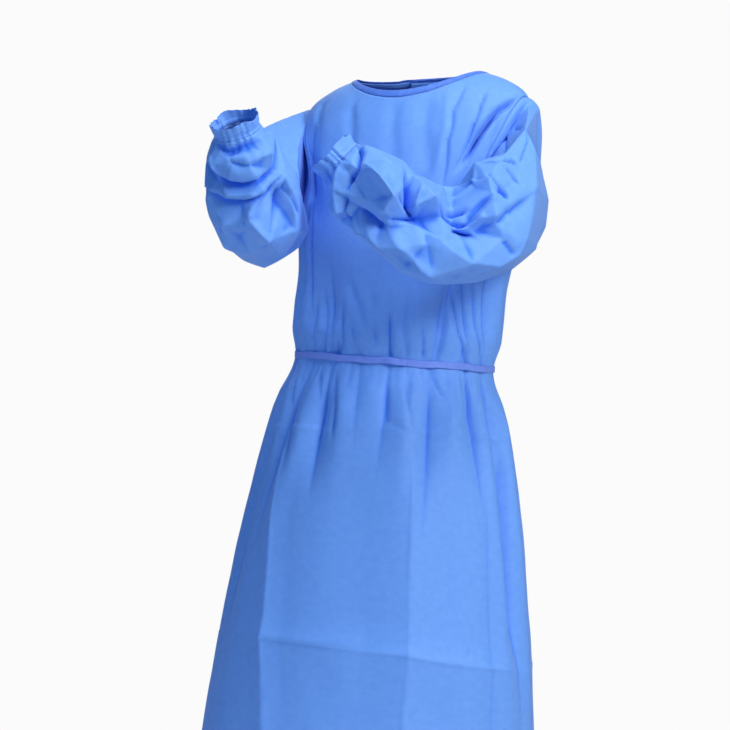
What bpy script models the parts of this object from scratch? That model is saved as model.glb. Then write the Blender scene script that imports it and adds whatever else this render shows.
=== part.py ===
"""Disposable gown of blue nonwoven cloth, in the shape it takes when worn, with nobody in it.

The body hangs from the shoulders: one front panel and two back panels that lap down the middle of the back.
Both sleeves bend at the elbow in front of the chest and end in gathered cuffs. A narrow tie belts the waist.
The frame has +Z up and the front towards -Y, so the wearer's left is +X. The origin lies in the middle of the
neck opening, level with the shoulder seams that the wearer's shoulders hold up. All sizes are in metres.
"""

import math

import bpy
import numpy as np

MM = 0.001
WALL = 2.0 * MM
SEAM_GAP = 0.3 * MM
SHARP_ANGLE = 50.0

# Colours are linear RGB
GOWN_BLUE = (0.085, 0.270, 0.760)
TIE_BLUE = (0.130, 0.235, 0.720)

# Rings of the body from the neck to the hem. Each is an oval round the figure, whose height may differ at the
# front, the sides and the back, so that the upper rings lie over the shoulders.
RING_COLUMNS = ("half_width", "front_depth", "back_depth", "z_front", "z_side", "z_back", "middle_x")
BODY_RINGS = {
    "neck": (0.091, 0.078, 0.066, -0.029, 0.000, 0.004, 0.000),
    "yoke": (0.124, 0.098, 0.090, -0.072, -0.012, -0.030, 0.000),
    "shoulder": (0.158, 0.111, 0.106, -0.120, -0.038, -0.080, 0.000),
    "upper_armhole": (0.167, 0.118, 0.112, -0.154, -0.085, -0.122, 0.000),
    "mid_armhole": (0.164, 0.122, 0.115, -0.192, -0.150, -0.170, 0.000),
    "underarm": (0.153, 0.124, 0.114, -0.248, -0.248, -0.246, -0.002),
    "ribs": (0.148, 0.122, 0.111, -0.300, -0.300, -0.300, -0.003),
    "blouse": (0.149, 0.123, 0.113, -0.362, -0.362, -0.362, -0.005),
    "above_belt": (0.1425, 0.1135, 0.1045, -0.393, -0.393, -0.393, -0.006),
    "belt": (0.1410, 0.1115, 0.1025, -0.402, -0.402, -0.402, -0.006),
    "below_belt": (0.1425, 0.1135, 0.1045, -0.411, -0.411, -0.411, -0.006),
    "high_hip": (0.160, 0.131, 0.122, -0.455, -0.455, -0.455, -0.005),
    "hip": (0.181, 0.146, 0.140, -0.540, -0.540, -0.540, -0.004),
    "thigh": (0.206, 0.163, 0.159, -0.680, -0.680, -0.680, -0.003),
    "knee": (0.229, 0.181, 0.178, -0.860, -0.860, -0.860, -0.002),
    "hem": (0.254, 0.205, 0.203, -1.150, -1.150, -1.150, 0.000),
}
# The shoulders are turned a little on the hips, towards the wearer's right
SHOULDER_TURN = -8.0
SHOULDER_TURN_ENDS_Z = -0.400
# The wearer lifts the left arm across the chest, which raises that shoulder
SHOULDER_TILT = 0.10
SHOULDER_TILT_ENDS_Z = -0.250

# Rows of cells between one named ring and the next one
ROWS_BETWEEN = {
    ("neck", "yoke"): 2,
    ("yoke", "shoulder"): 2,
    ("shoulder", "underarm"): 10,
    ("underarm", "ribs"): 1,
    ("ribs", "blouse"): 2,
    ("blouse", "above_belt"): 2,
    ("above_belt", "below_belt"): 2,
    ("below_belt", "high_hip"): 3,
    ("high_hip", "hip"): 2,
    ("hip", "thigh"): 2,
    ("thigh", "knee"): 2,
    ("knee", "hem"): 3,
}

# Angles run round the body in degrees: 0 at the middle of the front, 90 at the wearer's left, 180 at the back
SIDE_SEAM = 90.0
ARMHOLE_FRONT_REACH = 40.0
ARMHOLE_BACK_REACH = 38.0
BACK_LAP = 25.0
LAP_RAMP = 14.0
LAP_RISE = 10.0
LAP_GAP = 0.8 * MM
FRONT_COLUMNS = 30
BACK_COLUMNS = 8
LAP_COLUMNS = 6
BINDING_WIDTH = 8.0 * MM

# Folds that the belt gathers: the angle at the belt and at each end, how far the fold runs above and below
# the belt, its depth in the open cloth and its half width there.
FOLD_COLUMNS = ("at_belt", "at_top", "at_bottom", "rise", "fall", "depth", "half_width")
BELT_FOLDS = (
    (-66, -64, -62, 0.16, 0.50, 0.016, 0.019),
    (-42, -41, -50, 0.12, 0.30, 0.012, 0.015),
    (-27, -31, -21, 0.14, 0.22, 0.018, 0.015),
    (-8, -20, -4, 0.08, 0.14, 0.008, 0.016),
    (9, 6, 7, 0.10, 0.18, 0.010, 0.015),
    (32, 41, 26, 0.18, 0.28, 0.014, 0.015),
    (57, 42, 57, 0.20, 0.22, 0.018, 0.015),
    (72, 62, 80, 0.20, 0.60, 0.018, 0.017),
    (104, 110, 106, 0.14, 0.40, 0.016, 0.018),
    (121, 124, 124, 0.12, 0.26, 0.013, 0.014),
    (138, 140, 140, 0.16, 0.50, 0.009, 0.012),
    (-98, -104, -104, 0.14, 0.42, 0.016, 0.018),
    (-119, -122, -124, 0.12, 0.30, 0.013, 0.014),
    (-136, -138, -138, 0.16, 0.55, 0.009, 0.012),
)
PINCH_DEPTH = 0.004
PINCH_HALF_WIDTH = 0.009
PINCH_REACH = 0.045
FOLD_FADE = 0.7
# Each fold has a ridge on both sides: its height as a share of the fold's depth, how many half widths it lies
# from the middle of the fold, and its own half width
RIDGE_SHARE = 0.4
RIDGE_PLACE = 2.0
RIDGE_HALF_WIDTH = 0.9

# Folds dragged from the raised shoulder down the chest: angle and height at each end, depth and half width
DRAG_COLUMNS = ("top_angle", "top_z", "bottom_angle", "bottom_z", "depth", "half_width")
DRAG_FOLDS = (
    (62, -0.030, 46, -0.215, 0.007, 0.012),
    (50, -0.060, 28, -0.235, 0.006, 0.014),
    (-56, -0.050, -40, -0.230, 0.006, 0.013),
    (130, -0.060, 140, -0.230, 0.006, 0.014),
    (-130, -0.060, -138, -0.230, 0.006, 0.014),
)
DRAG_FADE = 0.35

# Sleeves as rings along each arm: the ring's middle and its half sizes, up the arm's own upright and across.
# Between the armhole and the first of these rings the cloth rounds over the shoulder.
SLEEVE_COLUMNS = ("x", "y", "z", "half_height", "half_breadth")
LEFT_SLEEVE = {
    "upper_arm": (0.166, -0.088, -0.168, 0.088, 0.044),
    "above_elbow": (0.163, -0.122, -0.184, 0.080, 0.053),
    "elbow": (0.156, -0.156, -0.204, 0.074, 0.062),
    "below_elbow": (0.136, -0.190, -0.224, 0.067, 0.064),
    "forearm": (0.098, -0.219, -0.230, 0.067, 0.062),
    "lower_forearm": (0.050, -0.241, -0.214, 0.060, 0.056),
    "puff": (0.003, -0.257, -0.177, 0.060, 0.056),
    "gather": (-0.032, -0.267, -0.146, 0.033, 0.033),
}
RIGHT_SLEEVE = {
    "upper_arm": (-0.186, -0.082, -0.174, 0.088, 0.048),
    "above_elbow": (-0.167, -0.152, -0.206, 0.076, 0.052),
    "elbow": (-0.147, -0.213, -0.227, 0.063, 0.059),
    "below_elbow": (-0.141, -0.258, -0.222, 0.060, 0.063),
    "forearm": (-0.144, -0.288, -0.188, 0.059, 0.063),
    "puff": (-0.149, -0.311, -0.150, 0.052, 0.053),
    "gather": (-0.156, -0.329, -0.119, 0.032, 0.032),
}
MIDDLE_LINE_STEPS = 400
BEND_STEPS = 20
SLEEVE_ROWS = 32
SLEEVE_COLUMNS_ROUND = 20
# The way in which the sleeve leaves its armhole, on the wearer's left, and how far it keeps to it
LEAVING = (1.0, -0.15, -0.05)
LEAVING_SHARE = 0.9
ARRIVING_SHARE = 0.9
# How far from the armhole and from the cuff the folds of the slack reach their full depth
SLACK_STARTS = 0.085
SLACK_ENDS = 0.025
ARMHOLE_INSET = 0.7 * MM

# Slack of each sleeve gathered into folds. Each runs straight from one place to another, given as a share of
# the way from armhole to cuff and an angle round the sleeve: 0 on top, 90 towards the body, 180 below and 270
# away from it. A fold of negative depth is a ridge.
SLACK_COLUMNS = ("along", "round", "along_end", "round_end", "depth", "half_width")
LEFT_SLACK = (
    (0.825, 350, 0.735, 285, 0.014, 0.012),
    (0.665, 352, 0.585, 312, 0.018, 0.016),
    (0.454, 337, 0.576, 298, 0.010, 0.011),
    (0.575, 287, 0.514, 299, 0.012, 0.012),
    (0.514, 299, 0.351, 298, 0.007, 0.014),
    (0.955, 315, 0.900, 240, 0.009, 0.011),
    (0.835, 235, 0.775, 195, 0.012, 0.013),
    (0.882, 298, 0.792, 273, -0.006, 0.012),
    (0.769, 254, 0.632, 243, -0.005, 0.013),
    (0.250, 65, 0.235, 125, 0.014, 0.018),
    (0.450, 60, 0.475, 150, 0.014, 0.014),
    (0.600, 70, 0.560, 160, 0.010, 0.013),
    (0.750, 50, 0.700, 140, 0.012, 0.013),
    (0.880, 70, 0.860, 165, 0.010, 0.012),
)
RIGHT_SLACK = (
    (0.975, 245, 0.965, 135, 0.007, 0.010),
    (0.895, 240, 0.872, 180, 0.012, 0.012),
    (0.872, 180, 0.890, 95, 0.012, 0.012),
    (0.815, 225, 0.800, 130, -0.006, 0.014),
    (0.775, 125, 0.840, 115, 0.009, 0.011),
    (0.700, 175, 0.640, 120, 0.008, 0.014),
    (0.900, 330, 0.880, 60, 0.009, 0.012),
    (0.780, 320, 0.770, 50, 0.014, 0.014),
    (0.640, 330, 0.660, 60, 0.015, 0.015),
    (0.520, 60, 0.500, 150, 0.012, 0.014),
    (0.330, 310, 0.300, 220, 0.010, 0.015),
    (0.280, 50, 0.270, 140, 0.010, 0.015),
)

# Cuffs: the sleeve's hem gathered on elastic, with a short ruffle beyond it
CUFF_LENGTH = 0.018
CUFF_WALL = 1.2 * MM
CUFF_WAVES = 10
CUFF_POINTS_PER_WAVE = 4
CUFF_WAVE_DEPTH = 2.2 * MM
CUFF_FLARE = 3.5 * MM
CUFF_ROWS = 3

# Belt and its knot
BELT_WIDTH = 10.0 * MM
BELT_THICKNESS = 1.5 * MM
BELT_CLEARANCE = 0.5 * MM
BELT_STEP = 6.0
BELT_JOIN_ANGLE = 13.0
BELT_JOIN_LAP = 5.0
BELT_JOIN_RAMP = 11.0
BELT_JOIN_RISE = 9.0
KNOT_ANGLE = 180.0
KNOT_HALF_SIZE = (0.012, 0.0055, 0.010)
KNOT_SEGMENTS, KNOT_RINGS = 16, 8
TAIL_LENGTHS = {"left": 0.150, "right": 0.128}
TAIL_LEAN = {"left": -3.2, "right": 3.6}
TAIL_SPREAD = 1.5
TAIL_ROWS = 9
TAIL_CLEARANCE = 1.2 * MM
KNOT_TO_TAIL = 1.3 * MM

# Tab that closes the neck at the back
TAB_BELOW_BINDING = 4.0 * MM
TAB_LENGTH = 0.055
TAB_WIDTH = 0.022
TAB_THICKNESS = 1.2 * MM
TAB_ROWS = 2
TAB_COLUMNS = 8
TAB_SEAT_ANGLE = 4.0


def smoothstep(value):
    """0 below 0, 1 above 1, and a soft step between them."""
    t = np.clip(value, 0.0, 1.0)
    return t * t * (3.0 - 2.0 * t)


def through(stations, values, at):
    """A curve through values at the given stations, with no overshoot between them (monotone cubic)."""
    stations, values = np.asarray(stations, float), np.asarray(values, float)
    step = np.diff(stations)
    slope = np.diff(values) / step
    tangent = np.zeros_like(values)
    tangent[0], tangent[-1] = slope[0], slope[-1]
    for i in range(1, len(values) - 1):
        if slope[i - 1] * slope[i] > 0:
            before, after = 2 * step[i] + step[i - 1], step[i] + 2 * step[i - 1]
            tangent[i] = (before + after) / (before / slope[i - 1] + after / slope[i])
    at = np.clip(np.asarray(at, float), stations[0], stations[-1])
    cell = np.clip(np.searchsorted(stations, at, side="right") - 1, 0, len(step) - 1)
    h, t = step[cell], (at - stations[cell]) / step[cell]
    return (
        (1 + 2 * t) * (1 - t) ** 2 * values[cell]
        + t * (1 - t) ** 2 * h * tangent[cell]
        + t * t * (3 - 2 * t) * values[cell + 1]
        + t * t * (t - 1) * h * tangent[cell + 1]
    )


def unit(vectors):
    """Vectors of length 1."""
    return vectors / np.linalg.norm(vectors, axis=-1, keepdims=True)


def ring_stations():
    """How far each named ring lies from the neck, down the side of the body."""
    profile = np.array([(row[0], row[4]) for row in BODY_RINGS.values()])
    steps = np.linalg.norm(np.diff(profile, axis=0), axis=1)
    return dict(zip(BODY_RINGS, np.concatenate([[0.0], np.cumsum(steps)])))


STATIONS = ring_stations()
STEP_ANGLE = 0.05
STEP_DOWN = 0.05 * MM


def body_base(angle, down):
    """Points of the plain body, without folds, at angles in degrees and distances down from the neck."""
    along = list(STATIONS.values())
    columns = zip(*BODY_RINGS.values())
    half_width, front, back, z_front, z_side, z_back, middle_x = (through(along, c, down) for c in columns)
    sine, cosine = np.sin(np.radians(angle)), np.cos(np.radians(angle))
    depth = front * (1 + cosine) / 2 + back * (1 - cosine) / 2
    x = half_width * sine
    y = -depth * cosine
    z = z_side + (z_front - z_side) * np.maximum(cosine, 0) ** 2
    z = z + (z_back - z_side) * np.maximum(-cosine, 0) ** 2
    z = z + SHOULDER_TILT * x * smoothstep(1 - z / SHOULDER_TILT_ENDS_Z)
    turn = np.radians(SHOULDER_TURN) * smoothstep(1 - z / SHOULDER_TURN_ENDS_Z)
    turned_x = x * np.cos(turn) - y * np.sin(turn) + middle_x
    turned_y = x * np.sin(turn) + y * np.cos(turn)
    return np.stack(np.broadcast_arrays(turned_x, turned_y, z), axis=-1)


def trough(aside, half_width, ridge=0.0):
    """The section of a fold: 1 at its bottom, with a ridge of that share of its depth on each side."""
    away = np.abs(aside / half_width)
    return np.exp(-(away**2)) - ridge * np.exp(-(((away - RIDGE_PLACE) / RIDGE_HALF_WIDTH) ** 2))


def belt_folds_depth(angle, base):
    """How far the folds at the belt push the cloth in."""
    above = base[..., 2] - BODY_RINGS["belt"][4]
    radius = np.hypot(base[..., 0], base[..., 1])
    pushed = np.zeros_like(radius)
    for row in BELT_FOLDS:
        fold = dict(zip(FOLD_COLUMNS, row))
        share = np.where(above > 0, above / fold["rise"], -above / fold["fall"])
        end = np.where(above > 0, fold["at_top"], fold["at_bottom"])
        middle = fold["at_belt"] + (end - fold["at_belt"]) * np.clip(share, 0, 1)
        opening = smoothstep((np.abs(above) - BELT_WIDTH) / PINCH_REACH)
        half_width = PINCH_HALF_WIDTH + (fold["half_width"] - PINCH_HALF_WIDTH) * opening
        depth = PINCH_DEPTH * (1 - opening) + fold["depth"] * opening * smoothstep((1 - share) / FOLD_FADE)
        aside = np.radians(turn_between(angle, middle)) * radius
        pushed += depth * trough(aside, half_width, RIDGE_SHARE * opening)
    return pushed


def drag_folds_depth(angle, base):
    """How far the folds below the shoulders push the cloth in."""
    radius = np.hypot(base[..., 0], base[..., 1])
    pushed = np.zeros_like(radius)
    for row in DRAG_FOLDS:
        fold = dict(zip(DRAG_COLUMNS, row))
        share = (fold["top_z"] - base[..., 2]) / (fold["top_z"] - fold["bottom_z"])
        middle = fold["top_angle"] + (fold["bottom_angle"] - fold["top_angle"]) * np.clip(share, 0, 1)
        aside = np.radians(turn_between(angle, middle)) * radius
        length = smoothstep(share / DRAG_FADE) * smoothstep((1 - share) / DRAG_FADE)
        pushed += fold["depth"] * length * trough(aside, fold["half_width"], RIDGE_SHARE)
    return pushed


def turn_between(angle, other):
    """The signed angle from other to angle, by the shorter way round."""
    return (angle - other + 180.0) % 360.0 - 180.0


def lap_lift(angle):
    """How far the outer back panel stands off the inner one. It starts to rise before the inner one's edge."""
    ramp_start = 180.0 - BACK_LAP - LAP_RAMP
    return (WALL + LAP_GAP) * smoothstep((np.abs(angle) - ramp_start) / LAP_RISE)


def normals_of(point_at, first, second):
    """Unit normals of a surface that point_at gives over two parameters, by small steps each way."""
    second = np.clip(second, 2 * STEP_DOWN, STATIONS["hem"] - 2 * STEP_DOWN)
    along_first = point_at(first + STEP_ANGLE, second) - point_at(first - STEP_ANGLE, second)
    along_second = point_at(first, second + STEP_DOWN) - point_at(first, second - STEP_DOWN)
    return unit(np.cross(along_second, along_first))


def smooth_body(angle, down, lift=0.0):
    """Points lifted off the body without its folds, for what lies over them."""
    base = body_base(angle, down)
    return base + normals_of(body_base, angle, down) * np.asarray(lift)[..., None]


def folded_body(angle, down, outer_lap=False):
    """Points of the outside of the cloth, with its folds."""
    base = body_base(angle, down)
    pushed = belt_folds_depth(angle, base) + drag_folds_depth(angle, base)
    lift = lap_lift(angle) if outer_lap else 0.0
    return base + normals_of(body_base, angle, down) * (lift - pushed)[..., None]


def body_rows():
    """Distances down from the neck of every row of cells, closer together round the ends of the armholes."""
    rows = [BINDING_WIDTH + SEAM_GAP]
    for (start, end), count in ROWS_BETWEEN.items():
        share = np.arange(1, count + 1) / count
        if start == "shoulder":
            share = (1 - np.cos(np.pi * share)) / 2
        rows += list(STATIONS[start] + (STATIONS[end] - STATIONS[start]) * share)
    return np.array(rows)


def armhole_opening(down):
    """0 at and beyond both ends of the armhole, and 1 at its widest."""
    top, bottom = STATIONS["shoulder"], STATIONS["underarm"]
    share = (down - top) / (bottom - top)
    return np.sqrt(np.clip(1 - (2 * share - 1) ** 2, 0, None))


def seam_trim(down):
    """Half of the seam gap as an angle at the side of the body."""
    ends = body_base(SIDE_SEAM + STEP_ANGLE, down) - body_base(SIDE_SEAM - STEP_ANGLE, down)
    width_of_degree = np.linalg.norm(ends, axis=-1) / (2 * STEP_ANGLE)
    return SEAM_GAP / 2 / width_of_degree


def panel_grid(edges, columns, down):
    """Angles and distances down for rows of cells that run evenly from each edge to the next one."""
    angle = [edges[0][:, None]]
    for start, end, count in zip(edges, edges[1:], columns):
        angle.append(start[:, None] + (end - start)[:, None] * np.arange(1, count + 1) / count)
    angle = np.hstack(angle)
    return angle, np.repeat(down[:, None], angle.shape[1], axis=1)


def mesh_object(name, points, faces, colour, roughness):
    """An object of those points and faces, with its own material."""
    mesh = bpy.data.meshes.new(name)
    mesh.from_pydata([tuple(p) for p in points], [], faces)
    mesh.update()
    mesh.shade_smooth()
    mesh.set_sharp_from_angle(angle=math.radians(SHARP_ANGLE))
    made = bpy.data.objects.new(name, mesh)
    bpy.context.scene.collection.objects.link(made)
    material = bpy.data.materials.new(name)
    material.use_nodes = True
    shader = material.node_tree.nodes["Principled BSDF"]
    shader.inputs["Base Color"].default_value = (*colour, 1.0)
    shader.inputs["Roughness"].default_value = roughness
    shader.inputs["Metallic"].default_value = 0.0
    mesh.materials.append(material)
    return made


def wall_object(name, outer, inner, closed_round=False, colour=GOWN_BLUE, roughness=0.75):
    """A closed wall between two grids of points, each of rows by columns.

    An open grid gets a rim on all four sides. One that is closed round has its ends joined, and two rims.
    """
    rows, columns = outer.shape[:2]
    points = np.concatenate([outer.reshape(-1, 3), inner.reshape(-1, 3)])
    inside = rows * columns
    faces = []
    for row in range(rows - 1):
        for column in range(columns if closed_round else columns - 1):
            a, b = row * columns + column, row * columns + (column + 1) % columns
            c, d = b + columns, a + columns
            faces += [(a, b, c, d), (d + inside, c + inside, b + inside, a + inside)]
    last = (rows - 1) * columns
    for column in range(columns if closed_round else columns - 1):
        a, b = column, (column + 1) % columns
        faces += [(b, a, a + inside, b + inside), (a + last, b + last, b + last + inside, a + last + inside)]
    if not closed_round:
        for row in range(rows - 1):
            a, b = row * columns, (row + 1) * columns
            c, d = a + columns - 1, b + columns - 1
            faces += [(a, b, b + inside, a + inside), (d, c, c + inside, d + inside)]
    first, second, third = (points[i] for i in faces[0][:3])
    outward = np.dot(np.cross(second - first, third - first), first - points[inside])
    if outward < 0:
        faces = [face[::-1] for face in faces]
    return mesh_object(name, points, faces, colour, roughness)


def body_panel(name, edges, columns, down, outer_lap=False):
    """One panel of the body between its edges, each an angle for every row."""
    angle, down = panel_grid(edges, columns, down)
    outer = folded_body(angle, down, outer_lap)
    return wall_object(name, outer, outer - normals_of(body_base, angle, down) * WALL)


def front_edge(down):
    """The front panel's edge on the wearer's left: shoulder seam, armhole and side seam."""
    return SIDE_SEAM - ARMHOLE_FRONT_REACH * armhole_opening(down) - seam_trim(down)


def back_edge(down):
    """A back panel's edge along the same seams."""
    return SIDE_SEAM + ARMHOLE_BACK_REACH * armhole_opening(down) + seam_trim(down)


def make_body():
    """The front and the two back panels, whose cells match where they lap."""
    down = body_rows()
    level = np.ones_like(down)
    lap_start, lap_end = (180.0 - BACK_LAP) * level, (180.0 + BACK_LAP) * level
    front, back = front_edge(down), back_edge(down)
    body_panel("front", (-front, front), (FRONT_COLUMNS,), down)
    body_panel("back_left", (back, lap_start, lap_end), (BACK_COLUMNS, LAP_COLUMNS), down)
    body_panel("back_right", (-lap_end, -lap_start, -back), (LAP_COLUMNS, BACK_COLUMNS), down, outer_lap=True)


def make_neck_binding():
    """The bound edge of the neck, from the inner end at the back right round to the outer one."""
    down = np.array([0.0, BINDING_WIDTH])
    stops = (-180 - BACK_LAP, -180 + BACK_LAP, -SIDE_SEAM, SIDE_SEAM, 180 - BACK_LAP, 180 + BACK_LAP)
    edges = [np.full(2, stop) for stop in stops]
    columns = (LAP_COLUMNS, BACK_COLUMNS, FRONT_COLUMNS, BACK_COLUMNS, LAP_COLUMNS)
    angle, down = panel_grid(edges, columns, down)

    def surface(a, d):
        return smooth_body(a, d, lap_lift(np.minimum(a, 0.0)))

    outer = surface(angle, down)
    wall_object("neck_binding", outer, outer - normals_of(surface, angle, down) * WALL, colour=TIE_BLUE)


def armhole_loop(side):
    """Points round one armhole, down its front edge and up its back edge, and the body's normals there."""
    half = SLEEVE_COLUMNS_ROUND // 2
    share = (1 - np.cos(np.pi * np.arange(half + 1) / half)) / 2
    down = STATIONS["shoulder"] + (STATIONS["underarm"] - STATIONS["shoulder"]) * share
    front = SIDE_SEAM - ARMHOLE_FRONT_REACH * armhole_opening(down)
    back = SIDE_SEAM + ARMHOLE_BACK_REACH * armhole_opening(down)
    angle = np.concatenate([front, back[-2:0:-1]]) * side
    down = np.concatenate([down, down[-2:0:-1]])
    loop, normal = folded_body(angle, down), normals_of(body_base, angle, down)
    inward = loop.mean(axis=0) - loop
    inward = unit(inward - normal * np.sum(inward * normal, axis=-1, keepdims=True))
    return loop + inward * ARMHOLE_INSET, normal


def frames_along(centre):
    """Unit directions along and up a middle line of even steps, turned no more than its bends need."""
    kernel = np.hanning(2 * BEND_STEPS + 1)
    kernel /= kernel.sum()
    padded = np.pad(unit(np.gradient(centre, axis=0)), ((BEND_STEPS, BEND_STEPS), (0, 0)), mode="edge")
    tangent = unit(np.stack([np.convolve(padded[:, i], kernel, mode="valid") for i in range(3)], axis=-1))
    up = np.zeros_like(tangent)
    current = np.array([0.0, 0.0, 1.0])
    for i, along in enumerate(tangent):
        current = current - along * np.dot(current, along)
        current /= np.linalg.norm(current)
        up[i] = current
    return tangent, up


def arm_rings(side, table):
    """A function for a sleeve's plain rings and the way they face, and the length of their middle line."""
    rows = np.array(list(table.values()))
    stations = np.concatenate([[0.0], np.cumsum(np.linalg.norm(np.diff(rows[:, :3], axis=0), axis=1))])
    length = stations[-1]
    fine = np.linspace(0, length, MIDDLE_LINE_STEPS + 1)
    centre = np.stack([through(stations, rows[:, i], fine) for i in range(3)], axis=-1)
    tangent, up = frames_along(centre)
    across = np.cross(tangent, up) * side
    across = across * np.sign(np.dot(across[0], (-side, 0.0, 0.0)))
    turn = np.radians(np.arange(SLEEVE_COLUMNS_ROUND) * 360.0 / SLEEVE_COLUMNS_ROUND)

    def rings(distance):
        def read(values):
            return np.stack([np.interp(distance, fine, values[:, i]) for i in range(3)], axis=-1)[:, None, :]

        half_height = through(stations, rows[:, 3], distance)[:, None] * np.cos(turn)
        half_breadth = through(stations, rows[:, 4], distance)[:, None] * np.sin(turn)
        ring = read(centre) + read(up) * half_height[..., None] + read(across) * half_breadth[..., None]
        return ring, read(tangent)

    return rings, length


def shoulder_curve(share, start, end, leaving, arriving):
    """Curves from the armhole to the first plain ring, one for each column of cells."""
    t = share[:, None, None]
    reach = np.linalg.norm(end - start, axis=-1, keepdims=True)
    return (
        (1 + 2 * t) * (1 - t) ** 2 * start
        + t * (1 - t) ** 2 * reach * leaving * LEAVING_SHARE
        + t * t * (3 - 2 * t) * end
        + t * t * (t - 1) * reach * arriving * ARRIVING_SHARE
    )


def slack_depth(slack, share, turn, length, radius):
    """How far the folds of the slack push a sleeve in, at shares of its length and angles round it."""
    pushed = np.zeros(np.broadcast(share, turn).shape)
    for row in slack:
        fold = dict(zip(SLACK_COLUMNS, row))
        along = (share - fold["along"]) * length
        aside = np.radians(turn_between(turn, fold["round"])) * radius
        reach_along = (fold["along_end"] - fold["along"]) * length
        reach_aside = np.radians(turn_between(fold["round_end"], fold["round"])) * radius
        place = (along * reach_along + aside * reach_aside) / (reach_along**2 + reach_aside**2)
        place = np.clip(place, 0, 1)
        away = np.hypot(along - place * reach_along, aside - place * reach_aside)
        pushed += fold["depth"] * np.exp(-((away / fold["half_width"]) ** 2))
    return pushed


def sleeve_points(side, table, slack, share):
    """The outside of a sleeve, a ring for each share of its length from the armhole to the elastic."""
    loop, loop_normal = armhole_loop(side)
    rings, arm_length = arm_rings(side, table)
    first, facing = (found[0] for found in rings(np.zeros(1)))
    shoulder_length = np.linalg.norm(first - loop, axis=-1).mean()
    length = shoulder_length + arm_length
    distance = share * length
    leaving = unit(np.array(LEAVING) * (side, 1.0, 1.0))
    shoulder = shoulder_curve(np.minimum(distance / shoulder_length, 1.0), loop, first, leaving, facing)
    arm = rings(np.maximum(distance - shoulder_length, 0.0))[0]
    points = np.where((distance < shoulder_length)[:, None, None], shoulder, arm)
    spokes = points - points.mean(axis=1, keepdims=True)
    radius = np.linalg.norm(spokes, axis=-1).mean(axis=1)[:, None]
    turn = np.arange(SLEEVE_COLUMNS_ROUND)[None, :] * 360.0 / SLEEVE_COLUMNS_ROUND
    push = slack_depth(slack, share[:, None], turn, length, radius)
    push *= (smoothstep(distance / SLACK_STARTS) * smoothstep((length - distance) / SLACK_ENDS))[:, None]
    return points - unit(spokes) * push[..., None], loop_normal


def ring_normals(points):
    """Unit normals of a grid of rings, by its neighbours, pointing away from each ring's middle."""
    round_way = np.roll(points, -1, axis=1) - np.roll(points, 1, axis=1)
    along_way = np.gradient(points, axis=0)
    normal = unit(np.cross(along_way, round_way))
    outward = points - points.mean(axis=1, keepdims=True)
    return normal * np.sign(np.sum(normal * outward))


def make_sleeve(name, side, table, slack):
    """A sleeve from its armhole, where its rim faces the panels' edges, to the elastic."""
    outer, loop_normal = sleeve_points(side, table, slack, np.linspace(0, 1, SLEEVE_ROWS + 1))
    normals = ring_normals(outer)
    normals[0] = loop_normal
    wall_object(name, outer, outer - normals * WALL, closed_round=True)
    return outer


def make_cuff(name, sleeve):
    """The gathered end of a sleeve: it follows the last ring, and its waves grow towards the open edge."""
    end, before = sleeve[-1], sleeve[-2]
    centre = end.mean(axis=0)
    spoke = end[0] - centre
    radius = np.linalg.norm(spoke)
    upright = spoke / radius
    along = unit(np.cross(upright, end[SLEEVE_COLUMNS_ROUND // 4] - centre))
    along = along * np.sign(np.dot(along, centre - before.mean(axis=0)))
    aside = np.cross(along, upright)
    count = CUFF_WAVES * CUFF_POINTS_PER_WAVE
    turn = np.arange(count) * 2 * np.pi / count
    share = np.linspace(0, 1, CUFF_ROWS + 1)
    wave = np.cos(turn * CUFF_WAVES)[None, :] * (CUFF_WAVE_DEPTH * share)[:, None]
    reach = radius - CUFF_WALL + (CUFF_FLARE * share**2)[:, None] + wave
    forward = centre + along * (SEAM_GAP + CUFF_LENGTH * share)[:, None]
    direction = np.cos(turn)[:, None] * upright + np.sin(turn)[:, None] * aside
    outer = forward[:, None, :] + reach[..., None] * direction[None, :, :]
    wall_object(name, outer, outer - ring_normals(outer) * CUFF_WALL, closed_round=True)


def make_sleeves():
    """Both sleeves with their cuffs."""
    arms = {"left": (1, LEFT_SLEEVE, LEFT_SLACK), "right": (-1, RIGHT_SLEEVE, RIGHT_SLACK)}
    for name, (side, table, slack) in arms.items():
        sleeve = make_sleeve(f"sleeve_{name}", side, table, slack)
        make_cuff(f"cuff_{name}", sleeve)


def strip(name, angle, down, lift, thickness):
    """A flat strip over the body, on grids of angle and distance down, lifted off its folds."""
    wall_object(
        name,
        smooth_body(angle, down, lift + thickness),
        smooth_body(angle, down, lift),
        colour=TIE_BLUE,
    )


def make_belt():
    """Both halves of the belt, from their join in front to the knot at the back."""
    middle = STATIONS["belt"]
    across = middle + np.array([-1, 1]) * BELT_WIDTH / 2
    knot_half_angle = math.degrees((KNOT_HALF_SIZE[0] + SEAM_GAP) / BODY_RINGS["belt"][2])
    halves = {
        "belt_left": (BELT_JOIN_ANGLE, KNOT_ANGLE - knot_half_angle, 0.0),
        "belt_right": (-KNOT_ANGLE + knot_half_angle, BELT_JOIN_ANGLE + BELT_JOIN_LAP, 1.0),
    }
    for name, (start, end, over) in halves.items():
        columns = math.ceil(abs(end - start) / BELT_STEP)
        angle, down = np.meshgrid(np.linspace(start, end, columns + 1), across)
        above = over * smoothstep((angle - BELT_JOIN_ANGLE + BELT_JOIN_RAMP) / BELT_JOIN_RISE)
        lift = BELT_CLEARANCE + lap_lift(angle) + (BELT_THICKNESS + SEAM_GAP) * above
        strip(name, angle, down, lift, BELT_THICKNESS)


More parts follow.
